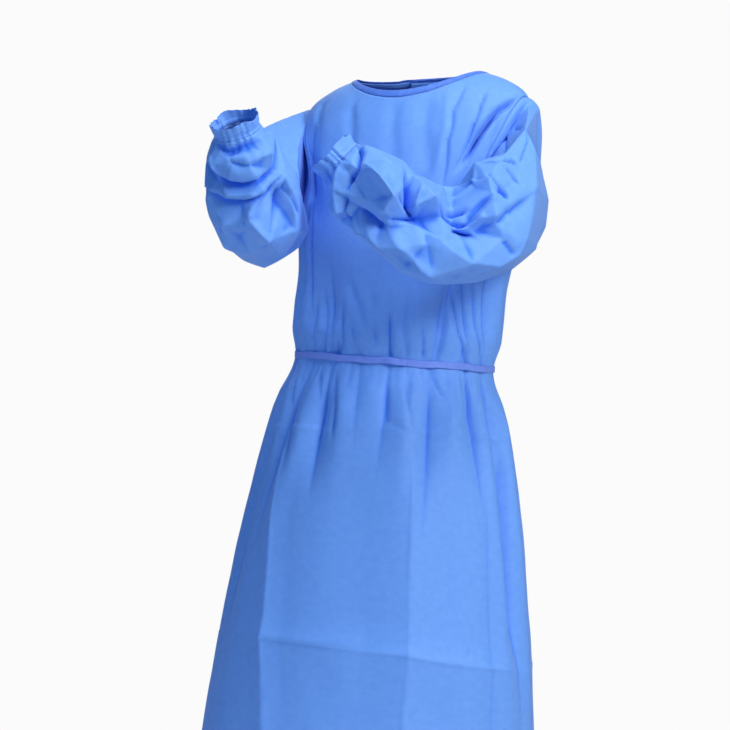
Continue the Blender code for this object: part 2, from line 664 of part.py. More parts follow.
def make_knot():
    """The knot of the belt, a flattened ball, and the two ends that hang from it."""
    half_x, half_y, half_z = KNOT_HALF_SIZE
    seat = BELT_CLEARANCE + WALL + LAP_GAP
    centre = smooth_body(np.array([KNOT_ANGLE]), np.array([STATIONS["belt"]]), np.array([seat + half_y]))[0]
    bpy.ops.mesh.primitive_uv_sphere_add(
        segments=KNOT_SEGMENTS, ring_count=KNOT_RINGS, radius=1.0, location=centre
    )
    knot = bpy.context.object
    knot.name = "belt_knot"
    knot.data.transform(np.diag((half_x, half_y, half_z, 1.0)).tolist())
    knot.data.shade_smooth()
    material = bpy.data.materials["belt_left"].copy()
    material.name = "belt_knot"
    knot.data.materials.append(material)
    for name, length in TAIL_LENGTHS.items():
        down = STATIONS["belt"] + half_z + KNOT_TO_TAIL + np.linspace(0, length, TAIL_ROWS + 1)
        radius = body_base(180.0, down)[:, 1]
        lean = TAIL_LEAN[name] * (1 + TAIL_SPREAD * np.linspace(0, 1, TAIL_ROWS + 1))
        half = np.degrees(BELT_WIDTH / 2 / radius)
        angle = KNOT_ANGLE + lean[:, None] + half[:, None] * np.array([-1, 1])
        lift = np.full_like(angle, TAIL_CLEARANCE + WALL + LAP_GAP)
        strip(f"belt_end_{name}", angle, np.repeat(down[:, None], 2, axis=1), lift, BELT_THICKNESS)


def make_neck_tab():
    """The tab across the lap at the nape, which closes the neck."""
    down = BINDING_WIDTH + TAB_BELOW_BINDING + np.linspace(0, TAB_WIDTH, TAB_ROWS + 1)
    radius = (BODY_RINGS["neck"][0] + BODY_RINGS["yoke"][0]) / 2
    half = math.degrees(TAB_LENGTH / 2 / radius)
    middle = -180 - BACK_LAP
    angle, down = np.meshgrid(np.linspace(middle - half, middle + half, TAB_COLUMNS + 1), down)
    over_lap = smoothstep((angle - middle + half) / (half - TAB_SEAT_ANGLE))
    strip("neck_tab", angle, down, BELT_CLEARANCE + (WALL + LAP_GAP) * over_lap, TAB_THICKNESS)


def clear_scene():
    """Removes whatever the scene holds."""
    for old in list(bpy.data.objects):
        bpy.data.objects.remove(old, do_unlink=True)


def main():
    clear_scene()
    make_body()
    make_neck_binding()
    make_sleeves()
    make_belt()
    make_knot()
    make_neck_tab()


main()
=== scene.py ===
"""Disposable gown of blue spunbonded cloth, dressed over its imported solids.

Every piece of cloth is a thin shell on the form of its solid. The folds that the photo shows are laid on the
cloth where the photo's own camera sees them, and similar ones are laid on the sides that it doesn't show.
The frame has +Z up, the front towards -Y and the gown's left at +X. Lengths are in metres.
"""

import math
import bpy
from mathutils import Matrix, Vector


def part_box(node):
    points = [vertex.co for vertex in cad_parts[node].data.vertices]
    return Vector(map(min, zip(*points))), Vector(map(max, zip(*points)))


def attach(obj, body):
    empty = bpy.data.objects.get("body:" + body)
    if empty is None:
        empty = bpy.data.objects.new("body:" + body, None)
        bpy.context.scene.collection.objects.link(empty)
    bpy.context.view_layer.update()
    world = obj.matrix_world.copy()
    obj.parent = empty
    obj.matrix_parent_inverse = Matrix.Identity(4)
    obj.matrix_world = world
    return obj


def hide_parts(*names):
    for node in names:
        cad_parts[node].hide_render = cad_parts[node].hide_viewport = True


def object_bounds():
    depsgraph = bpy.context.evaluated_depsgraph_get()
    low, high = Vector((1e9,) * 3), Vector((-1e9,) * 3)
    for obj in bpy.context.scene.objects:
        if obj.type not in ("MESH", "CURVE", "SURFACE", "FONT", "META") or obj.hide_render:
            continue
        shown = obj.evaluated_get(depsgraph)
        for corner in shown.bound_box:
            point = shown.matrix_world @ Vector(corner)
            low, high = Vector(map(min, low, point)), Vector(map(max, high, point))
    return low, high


bl_info = {
    "name": "Disposable gown",
    "version": (1, 0, 0),
    "blender": (4, 5, 0),
    "location": "3D View > Sidebar > Gown",
    "description": "Makes the cloth, seams, cuffs and ties of a disposable gown over its packed solids",
    "category": "Add Mesh",
}

import bpy
import numpy as np
from mathutils import Matrix, Vector, geometry, noise

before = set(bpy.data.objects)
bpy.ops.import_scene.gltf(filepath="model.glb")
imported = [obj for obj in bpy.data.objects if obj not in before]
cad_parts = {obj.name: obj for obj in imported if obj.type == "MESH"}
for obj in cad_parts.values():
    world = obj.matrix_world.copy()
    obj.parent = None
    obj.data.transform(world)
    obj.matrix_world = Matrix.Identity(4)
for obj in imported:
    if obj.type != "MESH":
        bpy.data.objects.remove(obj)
CAD_BOX = [list(corner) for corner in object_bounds()]
MM = 0.001

# The photo's camera: degrees round to the gown's left, its roll, how far it stands, what it looks at and
# how much it sees on each side of that. PHOTO_SIZE is the photo's width and height in pixels.
VIEW_AZIMUTH = 15.0
VIEW_ROLL = 4.5
VIEW_DISTANCE = 4.0
VIEW_TARGET = (-0.0448, -0.012, -0.4095)
VIEW_HALF_WIDTH = 0.511
SENSOR_WIDTH = 36.0
PHOTO_SIZE = 730

# The solids' own form, as the part's source has it. Rings of the body from the neck to the hem.
WALL = 2.0 * MM
SEAM_GAP = 0.3 * MM
BODY_RINGS = {
    # half_width, front_depth, back_depth, z_front, z_side, z_back, middle_x
    "neck": (0.091, 0.078, 0.066, -0.029, 0.000, 0.004, 0.000),
    "yoke": (0.124, 0.098, 0.090, -0.072, -0.012, -0.030, 0.000),
    "shoulder": (0.158, 0.111, 0.106, -0.120, -0.038, -0.080, 0.000),
    "upper_armhole": (0.167, 0.118, 0.112, -0.154, -0.085, -0.122, 0.000),
    "mid_armhole": (0.164, 0.122, 0.115, -0.192, -0.150, -0.170, 0.000),
    "underarm": (0.153, 0.124, 0.114, -0.248, -0.248, -0.246, -0.002),
    "ribs": (0.148, 0.122, 0.111, -0.300, -0.300, -0.300, -0.003),
    "blouse": (0.149, 0.123, 0.113, -0.362, -0.362, -0.362, -0.005),
    "above_belt": (0.1425, 0.1135, 0.1045, -0.393, -0.393, -0.393, -0.006),
    "belt": (0.1410, 0.1115, 0.1025, -0.402, -0.402, -0.402, -0.006),
    "below_belt": (0.1425, 0.1135, 0.1045, -0.411, -0.411, -0.411, -0.006),
    "high_hip": (0.160, 0.131, 0.122, -0.455, -0.455, -0.455, -0.005),
    "hip": (0.181, 0.146, 0.140, -0.540, -0.540, -0.540, -0.004),
    "thigh": (0.206, 0.163, 0.159, -0.680, -0.680, -0.680, -0.003),
    "knee": (0.229, 0.181, 0.178, -0.860, -0.860, -0.860, -0.002),
    "hem": (0.254, 0.205, 0.203, -1.150, -1.150, -1.150, 0.000),
}
SHOULDER_TURN, SHOULDER_TURN_ENDS_Z = -8.0, -0.400
SHOULDER_TILT, SHOULDER_TILT_ENDS_Z = 0.10, -0.250
SIDE_SEAM = 90.0
ARMHOLE_FRONT_REACH, ARMHOLE_BACK_REACH = -40.0, 38.0
BACK_LAP, LAP_RAMP, LAP_RISE = 25.0, 14.0, 10.0
LAP_STEP = WALL + 0.8 * MM
BINDING_WIDTH = 8.0 * MM
TAB_LENGTH = 55.0 * MM
BELT_HEIGHT = BODY_RINGS["belt"][4]
BELT_WIDTH = 10.0 * MM
TAPE_WIDTH = 9.2 * MM
BELT_CLEARANCE = 0.5 * MM

# Folds that the belt gathers, as the solids have them
BELT_FOLDS = (
    # angle at the belt, at the top and at the bottom, rise, fall, depth, half_width
    (-66, -64, -62, 0.16, 0.50, 0.016, 0.019),
    (-42, -41, -50, 0.12, 0.30, 0.012, 0.015),
    (-27, -31, -21, 0.14, 0.22, 0.018, 0.015),
    (-8, -20, -4, 0.08, 0.14, 0.008, 0.016),
    (9, 6, 7, 0.10, 0.18, 0.010, 0.015),
    (32, 41, 26, 0.18, 0.28, 0.014, 0.015),
    (57, 42, 57, 0.20, 0.22, 0.018, 0.015),
    (72, 62, 80, 0.20, 0.60, 0.018, 0.017),
    (104, 110, 106, 0.14, 0.40, 0.016, 0.018),
    (121, 124, 124, 0.12, 0.26, 0.013, 0.014),
    (138, 140, 140, 0.16, 0.50, 0.009, 0.012),
    (-98, -104, -104, 0.14, 0.42, 0.016, 0.018),
    (-119, -122, -124, 0.12, 0.30, 0.013, 0.014),
    (-136, -138, -138, 0.16, 0.55, 0.009, 0.012),
)
PINCH_DEPTH, PINCH_HALF_WIDTH, PINCH_REACH = 4.0 * MM, 9.0 * MM, 70.0 * MM
FOLD_FADE = 0.7
RIDGE_SHARE, RIDGE_PLACE, RIDGE_HALF_WIDTH = 0.22, 2.0, 0.9
DRAG_FOLDS = (
    # top_angle, top_z, bottom_angle, bottom_z, depth, half_width
    (62, -0.030, 46, -0.215, 0.007, 0.012),
    (50, -0.060, 28, -0.235, 0.006, 0.014),
    (-56, -0.050, -40, -0.230, 0.006, 0.013),
    (130, -0.060, 140, -0.230, 0.006, 0.014),
    (-130, -0.060, -138, -0.230, 0.006, 0.014),
)
DRAG_FADE = 0.35

# The sleeves' rings from the top to the gathered end: x, y, z, half_height, half_breadth
LEFT_SLEEVE = (
    (0.166, -0.088, -0.168, 0.088, 0.044),
    (0.163, -0.122, -0.184, 0.080, 0.053),
    (0.156, -0.156, -0.204, 0.074, 0.062),
    (0.136, -0.190, -0.224, 0.067, 0.064),
    (0.098, -0.219, -0.230, 0.067, 0.062),
    (0.050, -0.241, -0.214, 0.060, 0.056),
    (0.003, -0.257, -0.177, 0.060, 0.056),
    (-0.032, -0.267, -0.146, 0.033, 0.033),
)
RIGHT_SLEEVE = (
    (-0.186, -0.082, -0.174, 0.088, 0.048),
    (-0.167, -0.152, -0.206, 0.076, 0.052),
    (-0.147, -0.213, -0.227, 0.063, 0.059),
    (-0.141, -0.258, -0.222, 0.060, 0.063),
    (-0.144, -0.288, -0.188, 0.059, 0.063),
    (-0.149, -0.311, -0.150, 0.052, 0.053),
    (-0.156, -0.329, -0.119, 0.032, 0.032),
)
MIDDLE_LINE_STEPS, BEND_STEPS = 400, 20
LEAVING = (1.0, -0.15, -0.05)
LEAVING_SHARE = 0.9
SLACK_STARTS, SLACK_ENDS = 0.085, 0.025
ARMHOLE_INSET = 0.7 * MM
# The solids' folds of slack: from a share of the sleeve's length and an angle round it to another such place,
# with their depth and half width
LEFT_SLACK = (
    (0.825, 350, 0.735, 285, 0.014, 0.012),
    (0.665, 352, 0.585, 312, 0.018, 0.016),
    (0.454, 337, 0.576, 298, 0.010, 0.011),
    (0.575, 287, 0.514, 299, 0.012, 0.012),
    (0.514, 299, 0.351, 298, 0.007, 0.014),
    (0.955, 315, 0.900, 240, 0.009, 0.011),
    (0.835, 235, 0.775, 195, 0.012, 0.013),
    (0.882, 298, 0.792, 273, -0.006, 0.012),
    (0.769, 254, 0.632, 243, -0.005, 0.013),
    (0.250, 65, 0.235, 125, 0.014, 0.018),
    (0.450, 60, 0.475, 150, 0.014, 0.014),
    (0.600, 70, 0.560, 160, 0.010, 0.013),
    (0.750, 50, 0.700, 140, 0.012, 0.013),
    (0.880, 70, 0.860, 165, 0.010, 0.012),
)
RIGHT_SLACK = (
    (0.975, 245, 0.965, 135, 0.007, 0.010),
    (0.895, 240, 0.872, 180, 0.012, 0.012),
    (0.872, 180, 0.890, 95, 0.012, 0.012),
    (0.815, 225, 0.800, 130, -0.006, 0.014),
    (0.775, 125, 0.840, 115, 0.009, 0.011),
    (0.700, 175, 0.640, 120, 0.008, 0.014),
    (0.900, 330, 0.880, 60, 0.009, 0.012),
    (0.780, 320, 0.770, 50, 0.014, 0.014),
    (0.640, 330, 0.660, 60, 0.015, 0.015),
    (0.520, 60, 0.500, 150, 0.012, 0.014),
    (0.330, 310, 0.300, 220, 0.010, 0.015),
    (0.280, 50, 0.270, 140, 0.010, 0.015),
)

# How finely each piece is cut into cells
ROWS_BETWEEN = {
    ("neck", "yoke"): 12,
    ("yoke", "shoulder"): 14,
    ("shoulder", "underarm"): 70,
    ("underarm", "ribs"): 10,
    ("ribs", "blouse"): 12,
    ("blouse", "above_belt"): 10,
    ("above_belt", "below_belt"): 6,
    ("below_belt", "high_hip"): 12,
    ("high_hip", "hip"): 16,
    ("hip", "thigh"): 18,
    ("thigh", "knee"): 14,
    ("knee", "hem"): 14,
}
# Rows are closer together where the folds that the gown was packed in cross it, given as distances down
PRESSED_BANDS = ((0.534, 0.558), (0.840, 0.872))
PRESSED_ROW_STEP = 2.5 * MM
EDGE_COLUMNS, INNER_COLUMNS_START = (0.0, 0.003, 0.008), 0.015
ARMHOLE_SEAM_COLUMNS, ALLOWANCE_COLUMNS, SEAM_STEP = 180, 5, 3 * MM
SLEEVE_ROWS, SLEEVE_COLUMNS, CUFF_ROWS = 216, 200, 30
BINDING_ROWS, BINDING_COLUMNS, BINDING_STITCH_ROW = 480, 13, 10
TAB_ROWS, TAB_COLUMNS, NECK_SEAM_ROWS, READ_STEPS = 30, 60, 360, 600
KNOT_ROWS, KNOT_COLUMNS, KNOT_TURN_COLUMNS, TAIL_COLUMNS = 24, 48, 140, 90
TOUCHING, NEVER_ZERO = 1e-6, 1e-12

# Creases. A path is points of the photo in pixels, or, on the sides that the photo hides, angle round the
# body and height. Depth is how far the crease goes in, in millimetres, and a ridge has a negative one. It
# fades over the widths to the left and right of its path, in millimetres. Its power is 1 where the cloth is
# sharply creased, 2 where it rolls, and 0 where it falls away straight on each side.
# The folds that the gown was packed in: down its middle, down its side and across it
PACKED_MIDDLE = ((416, 434), (412, 500), (409, 560), (408, 657), (402, 730), (396, 880))
PACKED_SIDE = ((296, 374), (290, 400), (265, 560), (262, 638), (258, 730), (250, 888))
PACKED_ACROSS = ((222, 633), (262, 638), (330, 646), (405, 655), (450, 663), (495, 668), (531, 672))
BODY_CREASES = (
    (((465, 82), (453, 108), (448, 140), (441, 195)), 3.6, 2.2, 6.0, 1.2),
    (((486, 88), (480, 104), (474, 124), (457, 167)), 5.0, 1.7, 3.0, 1.1),
    (((499, 112), (478, 140), (460, 168)), 7.0, 1.8, 4.5, 1.2),
    (((524, 101), (499, 113), (482, 133), (469, 158)), 13.0, 2.2, 6.0, 1.2),
    (((395, 97), (391, 130), (396, 168)), 2.2, 9, 10.8, 2.0),
    (((428, 92), (424, 130), (428, 175)), 2.4, 9, 12.6, 2.0),
    (((352, 97), (350, 130), (352, 160)), 2.4, 7.2, 9, 2.0),
    (((322, 100), (316, 125)), 2.1, 6.3, 8.1, 2.0),
    (((447, 88), (443, 140), (432, 180)), -2.1, 6.3, 7.2, 2.0),
    (((284, 160), (292, 178), (297, 198)), 7.5, 2.7, 4.5, 1.3),
    (((290, 150), (299, 170), (303, 200)), 4.5, 2.7, 3.6, 1.3),
    (((300, 205), (298, 250), (299, 290)), 9.0, 3.6, 6.3, 1.5),
    (((308, 190), (307, 250), (306, 310)), 4.5, 3.6, 5.4, 1.5),
    (((318, 290), (320, 330), (317, 362)), 3.8, 3.6, 6.3, 1.4),
    (((338, 300), (341, 340), (334, 361)), 4.5, 2.7, 5.4, 1.3),
    (((334, 340), (332, 361)), 3.8, 1.8, 3.6, 1.2),
    (((346, 280), (362, 318), (385, 356)), 3.6, 6.3, 9, 1.8),
    (((389, 318), (390, 363)), 3.6, 2.7, 4.5, 1.4),
    (((423, 322), (424, 365)), 3.0, 2.7, 4.5, 1.4),
    (((455, 280), (446, 330), (436, 367)), 4.5, 3.6, 7.2, 1.4),
    (((455, 285), (461, 330), (472, 369)), 6.0, 2.7, 6.3, 1.3),
    (((479, 280), (483, 330), (487, 368)), 5.2, 2.7, 5.4, 1.3),
    (((370, 285), (374, 330), (372, 361)), 2.0, 5.4, 6.3, 1.8),
    (((408, 290), (404, 330), (407, 362)), 2.2, 4.5, 6.3, 1.8),
    (((334, 371), (331, 405), (329, 440)), 4.2, 2.7, 4.5, 1.2),
    (((295, 372), (288, 410), (283, 460)), 3.9, 3.6, 6.3, 1.4),
    (((316, 369), (314, 398)), 2.7, 2.7, 3.6, 1.3),
    (((386, 374), (386, 420), (416, 435)), 3.3, 3.6, 5.4, 1.3),
    (((404, 374), (408, 410), (416, 434)), 2.4, 3.6, 5.4, 1.5),
    (((434, 374), (439, 386), (447, 395)), 3.3, 2.7, 3.6, 1.3),
    (((472, 377), (476, 423)), 4.2, 2.7, 4.5, 1.3),
    (((488, 377), (496, 423)), 4.2, 2.7, 4.5, 1.3),
    (((452, 376), (453, 420)), -2.0, 2.7, 3.6, 1.3),
    (((460, 376), (463, 418)), -1.5, 2.7, 3.6, 1.3),
    (PACKED_MIDDLE, -9.5, 56, 60, 0),
    (PACKED_MIDDLE, -1.4, 1.8, 1.8, 1.0),
    (PACKED_SIDE, -6.0, 30, 44, 0),
    (PACKED_SIDE, -1.4, 1.8, 1.8, 1.0),
    (((487, 440), (493, 560), (495, 668), (498, 730), (502, 885)), 3.0, 30, 22, 0),
    (PACKED_ACROSS, -5.5, 34, 90, 0),
    (PACKED_ACROSS, -1.4, 1.8, 1.8, 1.0),
    (((254, 420), (285, 424), (327, 428)), -2.4, 4.5, 12.6, 0),
    (((330, 428), (400, 431), (456, 431)), -1.0, 5.4, 12.6, 0),
    (((456, 431), (490, 435), (508, 437)), -2.7, 4.5, 12.6, 0),
    (((466, 589), (475, 581), (489, 575)), 1.5, 2.7, 3.6, 1.1),
    (((465, 637), (473, 656)), 1.5, 2.7, 3.6, 1.1),
    (((508, 440), (514, 540), (520, 650)), 9.0, 8.1, 12.6, 1.8),
    (((298, 640), (320, 690), (330, 760)), 1.2, 20, 24, 2.0),
    (((356, 440), (350, 560), (340, 640)), 1.6, 22, 26, 2.0),
    (((452, 440), (456, 560), (450, 640)), 1.4, 18, 24, 2.0),
    (((440, 680), (446, 740), (450, 860)), 1.8, 24, 24, 2.0),
)
HIDDEN_BODY_CREASES = (
    (((135, -0.130), (137, -0.390)), -1.8, 4.5, 7.2, 1.0),
    (((137, -0.420), (139, -1.145)), -2.1, 4.5, 7.2, 1.0),
    (((-135, -0.130), (-137, -0.390)), -1.8, 4.5, 7.2, 1.0),
    (((-137, -0.420), (-139, -1.145)), -2.1, 4.5, 7.2, 1.0),
    (((94, -0.805), (130, -0.806), (176, -0.809)), -2.0, 3.6, 7.2, 1.0),
    (((-204, -0.809), (-150, -0.806), (-96, -0.803)), -2.0, 3.6, 7.2, 1.0),
    (((96, -0.500), (140, -0.501), (178, -0.503)), -1.5, 3.6, 5.4, 1.0),
    (((-200, -0.503), (-150, -0.501), (-98, -0.499)), -1.5, 3.6, 5.4, 1.0),
    (((128, -0.070), (140, -0.150), (158, -0.240)), 4.2, 3.6, 7.2, 1.3),
    (((116, -0.150), (134, -0.190), (150, -0.270)), 3.6, 3.6, 6.3, 1.3),
    (((-126, -0.070), (-142, -0.150), (-160, -0.250)), 4.2, 6.3, 3.6, 1.3),
    (((-112, -0.170), (-130, -0.210), (-146, -0.300)), 3.6, 6.3, 3.6, 1.3),
    (((150, -0.300), (153, -0.390)), 3.6, 3.6, 5.4, 1.4),
    (((163, -0.310), (160, -0.390)), 2.8, 3.6, 4.5, 1.4),
    (((-152, -0.300), (-150, -0.390)), 3.4, 3.6, 5.4, 1.4),
    (((-166, -0.320), (-168, -0.390)), 2.8, 3.6, 4.5, 1.4),
    (((152, -0.416), (154, -0.520)), 3.6, 3.6, 5.4, 1.3),
    (((-154, -0.416), (-156, -0.560)), 3.6, 3.6, 5.4, 1.3),
    (((112, -0.416), (114, -0.560)), 3.4, 3.6, 5.4, 1.3),
    (((-110, -0.416), (-108, -0.540)), 3.4, 3.6, 5.4, 1.3),
    (((150, -0.620), (160, -0.700)), 1.7, 4.5, 5.4, 1.1),
    (((-120, -0.930), (-128, -0.990)), 1.5, 4.5, 5.4, 1.1),
)
LEFT_SLEEVE_CREASES = (
    (((357, 137), (362, 150), (357, 165), (345, 190)), 10.8, 3.6, 4.5, 1.3),
    (((350, 150), (340, 166), (332, 182)), -4.1, 2.7, 3.6, 1.4),
    (((410, 170), (409, 186), (409, 203), (413, 217)), 17.6, 4.5, 4.5, 1.4),
    (((421, 184), (416, 203), (414, 217)), -6.8, 4.5, 5.4, 1.2),
    (((363, 163), (375, 178), (391, 198), (380, 219)), -8.1, 5.4, 8.1, 1.1),
    (((396, 192), (407, 206), (413, 217)), 5.4, 3.6, 5.4, 1.1),
    (((388, 220), (401, 222), (414, 219)), 6.8, 3.6, 6.3, 1.2),
    (((353, 214), (367, 221), (379, 227), (376, 238)), 10.8, 5.4, 8.1, 1.3),
    (((343, 200), (340, 219), (340, 234)), 8.1, 3.6, 5.4, 1.2),
    (((346, 224), (358, 236)), -5.4, 3.6, 4.5, 1.1),
    (((321, 203), (333, 215)), -4.1, 4.5, 5.4, 1.1),
    (((383, 231), (408, 250), (433, 271)), -6.8, 7.2, 10.8, 1.1),
    (((433, 270), (428, 243), (421, 214)), 4.1, 7.2, 9, 1.2),
    (((471, 249), (459, 277)), -2.7, 5.4, 8.1, 1.1),
    (((440, 193), (450, 203), (458, 213), (467, 219)), 18.9, 7.2, 7.2, 1.6),
    (((450, 196), (464, 197), (478, 201)), 10.8, 7.2, 4.5, 1.4),
    (((493, 191), (480, 209), (466, 226)), 10.8, 2.7, 7.2, 1.1),
    (((459, 226), (469, 236), (480, 241)), 13.5, 4.5, 6.3, 1.3),
    (((480, 241), (493, 225), (515, 210), (539, 193)), 6.8, 7.2, 14.4, 1.5),
    (((497, 190), (488, 207), (474, 228)), -5.4, 3.6, 5.4, 1.2),
    (((508, 241), (516, 255)), 4.1, 2.7, 3.6, 1.1),
    (((477, 164), (497, 160), (514, 155), (521, 159)), 5.4, 3.6, 4.5, 1.2),
    (((507, 163), (519, 170), (525, 178)), 4.1, 2.7, 3.6, 1.2),
    (((498, 183), (507, 185), (513, 192)), 8.1, 4.5, 4.5, 1.3),
    (((487, 172), (497, 178), (504, 184)), 4.1, 3.6, 3.6, 1.3),
    (((514, 112), (506, 123), (493, 138), (480, 152)), 3.5, 3.6, 7.2, 1.2),
    (((520, 113), (526, 122)), 4.1, 2.7, 3.6, 1.2),
    (((532, 118), (527, 140), (522, 162)), 2.2, 1.8, 2.7, 1.1),
    (((500, 222), (515, 236), (522, 250)), -3.4, 7.2, 9, 1.2),
    (((441, 183), (455, 174), (474, 164)), -4.1, 4.5, 7.2, 1.4),
)
RIGHT_SLEEVE_CREASES = (
    (((212, 139), (218, 144), (226, 150), (240, 145), (262, 133)), 9.0, 2.7, 15, 1.2),
    (((226, 128), (236, 131), (248, 127)), 5.4, 4.5, 5.4, 1.6),
    (((208, 174), (222, 184), (240, 187), (262, 180), (281, 168)), 13.0, 2.7, 12, 1.2),
    (((204, 190), (221, 202), (245, 203), (269, 195), (285, 178)), 14.0, 2.7, 20, 1.2),
    (((226, 160), (246, 166), (272, 158)), 5.5, 2.7, 11, 1.2),
    (((210, 180), (225, 195), (255, 194), (283, 170)), -5.4, 3.6, 4.5, 1.2),
    (((208, 197), (224, 204), (252, 206), (270, 197)), -4.1, 2.7, 4.5, 1.1),
    (((262, 193), (247, 216), (268, 238), (287, 213)), -6.8, 6.3, 8.1, 1.1),
    (((268, 238), (275, 215), (280, 190)), 5.4, 5.4, 7.2, 1.2),
    (((283, 206), (286, 189)), 10.8, 2.7, 3.6, 1.2),
    (((262, 152), (240, 158), (222, 160)), -3.4, 4.5, 5.4, 1.5),
    (((208, 152), (211, 170), (220, 184)), -4.1, 2.7, 4.5, 1.2),
    (((255, 254), (276, 236), (294, 226)), 4.1, 7.2, 9, 1.3),
    (((214, 222), (228, 240), (234, 254)), 2.7, 7.2, 9, 1.3),
    (((288, 186), (296, 200), (302, 212)), 5.4, 2.7, 4.5, 1.3),
)
CREASE_FADE, CREASE_END_SHARE, TENT_POWER, CREASE_MARGIN, BESIDE = 0.22, 0.25, 1.5, 12, 0.2
PIXEL_REACH = 3.0
CREASE_REACH = 4.5

# Facets of the papery cloth. Each corner is a pixel of the photo and how far the cloth stands out there, in
# millimetres, and the cloth is flat between the corners.
LEFT_SLEEVE_FACETS = (
    (340, 160, 3), (330, 190, 3), (336, 215, 5), (345, 225, -5), (356, 236, 8), (364, 146, 5),
    (393, 163, 4), (416, 172, 9), (436, 196, 6), (362, 161, 8), (378, 178, 9), (393, 199, 14),
    (367, 202, -5), (355, 213, -9), (379, 211, -3), (384, 209, 4), (376, 230, -10), (405, 211, 3),
    (413, 220, -14), (390, 221, -6), (372, 241, 6), (379, 246, 8), (431, 270, 13), (414, 226, -3),
    (426, 244, 4), (470, 239, -14), (450, 204, -10), (461, 211, -17), (492, 187, 5), (466, 225, -8),
    (483, 225, -5), (539, 185, 3), (476, 164, 8), (506, 178, -5), (509, 185, -8), (509, 239, -4),
    (517, 256, 5), (530, 239, 1), (471, 261, 6), (447, 284, 3), (500, 213, 6), (455, 250, 10),
    (500, 265, 6), (404, 266, 6), (520, 212, -1), (535, 150, 4), (505, 150, 0), (520, 165, -4),
    (525, 130, 4), (500, 160, 4), (488, 178, 5), (441, 240, 3),
)
RIGHT_SLEEVE_FACETS = (
    (213, 124, 3), (238, 130, 2), (256, 128, 4), (216, 150, 5), (228, 150, 0), (244, 146, 0),
    (264, 137, 2), (232, 165, 5), (250, 165, 5), (272, 152, 5), (212, 165, 4), (281, 166, 0),
    (210, 183, 3), (225, 196, 3), (252, 194, 3), (206, 195, 3), (240, 206, 0), (268, 199, 0),
    (249, 213, 4), (268, 238, 13), (246, 230, 3), (280, 206, -5), (296, 230, 5), (225, 225, 8),
    (212, 222, 3), (222, 247, 4), (236, 243, -4), (234, 253, 1), (250, 260, 2), (268, 263, 2),
    (284, 262, 2), (284, 206, -13), (294, 192, 4), (290, 178, 6),
)
FACET_SPACING, FACET_STRAY, FACET_HEIGHT = 36 * MM, 0.35, 3.2 * MM
FLATNESS, FLATNESS_HIDDEN = 0.85, 0.45
FACET_RELIEF = 1.6
SLEEVE_CREASE_DEPTH, SLEEVE_CREASE_WIDTH = 1.25, 0.75
BODY_CREASE_DEPTH = 1.15

# Gathers where the belt draws the cloth in: degrees and shares, then depths and widths in millimetres,
# then lengths in metres and how unevenly they are spaced
PUCKER_SPACING, PUCKER_LEAN, PUCKER_START, PUCKER_POWER = 6.5, 3.0, 0.45, 1.5
PUCKER_DEPTHS, PUCKER_WIDTHS = (0.5, 1.9), (2.2, 4.0)
PUCKER_LENGTHS, PUCKER_STRAY = (0.012, 0.045), (0.5, 1.6)

# Gathers where the elastic draws the cloth in. An uneven shift is a number of waves round the ring, how many
# times the seed shifts them, and their height.
GATHER_PLEATS, GATHER_DEPTH, GATHER_REACH, GATHER_SHIFT = 17, 2.2 * MM, 20 * MM, 1.6
GATHER_MEAN, GATHER_SWELL, GATHER_SWELLS = 0.75, 0.35, 5
SLEEVE_WANDER = ((3, 1, 1.4), (7, 2, 0.8))
CUFF_WANDER = ((2, 1, 1.1), (5, 3, 0.7))
CUFF_GAP, CUFF_LENGTH, CUFF_WAIST, CUFF_WAIST_ENDS, RIB_DEPTH = 0.4 * MM, 18 * MM, 1.2 * MM, 0.45, 0.45 * MM
RUFFLE_START, RUFFLE_FLARE, RUFFLE_WAVE, RUFFLE_LEAN = 0.42, 1.0 * MM, 1.1 * MM, 2.0 * MM
RUFFLES, SMALL_RUFFLES, SMALL_RUFFLE, RUFFLE_LEANS, CUFF_AIM_ROW = 9, 17, 0.35, 4, 6

# Folds on the hidden side of each sleeve, in millimetres, and how squarely cloth faces the camera to be seen
HIDDEN_FOLDS, HIDDEN_FOLD_DEPTHS, HIDDEN_FOLD_WIDTHS, HIDDEN_FOLD_POWER = 26, (2.5, 8), (4, 9), 1.3
HIDDEN_FOLD_PLACES, HIDDEN_FOLD_DRIFT, HIDDEN_FOLD_TURNS = (0.14, 0.94), 10 * MM, (18, 42)
SEEN_FACING, HIDDEN_FACING, EDGE_FACET_SHARE, EDGE_FACET_RISE = 0.1, 0.3, 0.25, 2

# Waves of the slack cloth, and the lengths over which it lies calm at its edges
BODY_WAVE_SIZE, SLEEVE_WAVE_SIZE = 110 * MM, 55 * MM
WAVE_HEIGHT, SMALL_WAVE_SHARE, SMALL_WAVE_SCALE, SMALL_WAVE_SHIFT = 1.6 * MM, 0.35, 2.7, 5.0
BELT_CALM_START, BELT_CALM, NECK_CALM, SEAM_CALM = 0.6, 20 * MM, 30 * MM, 14 * MM
ARMHOLE_CALM, CUFF_CALM = 30 * MM, 12 * MM
SEAM_DIP, SEAM_DIP_WIDTH = 0.6 * MM, 1.8 * MM
HEM_FOLD, HEM_DIP, HEM_DIP_WIDTH = 16 * MM, 0.5 * MM, 2 * MM
ALLOWANCE_HALF_WIDTH, ALLOWANCE_BELOW, NECK_ALLOWANCE_BELOW = 4.0 * MM, 0.7 * MM, 0.9 * MM

# Each panel: its columns, the sides with a seam, the angles that its gathers lie between, its sewn columns,
# its cut as width and length and as area, and its seed
PANELS = {
    "front": (222, ("start", "end"), (-88, 88), (1, -2), (0.80, 1.20), 0.66, 4),
    "back_left": (124, ("start",), (92, 200), (-4,), (0.55, 1.20), 0.42, 5),
    "back_right": (124, ("end",), (-200, -92), (3,), (0.55, 1.20), 0.42, 6),
}

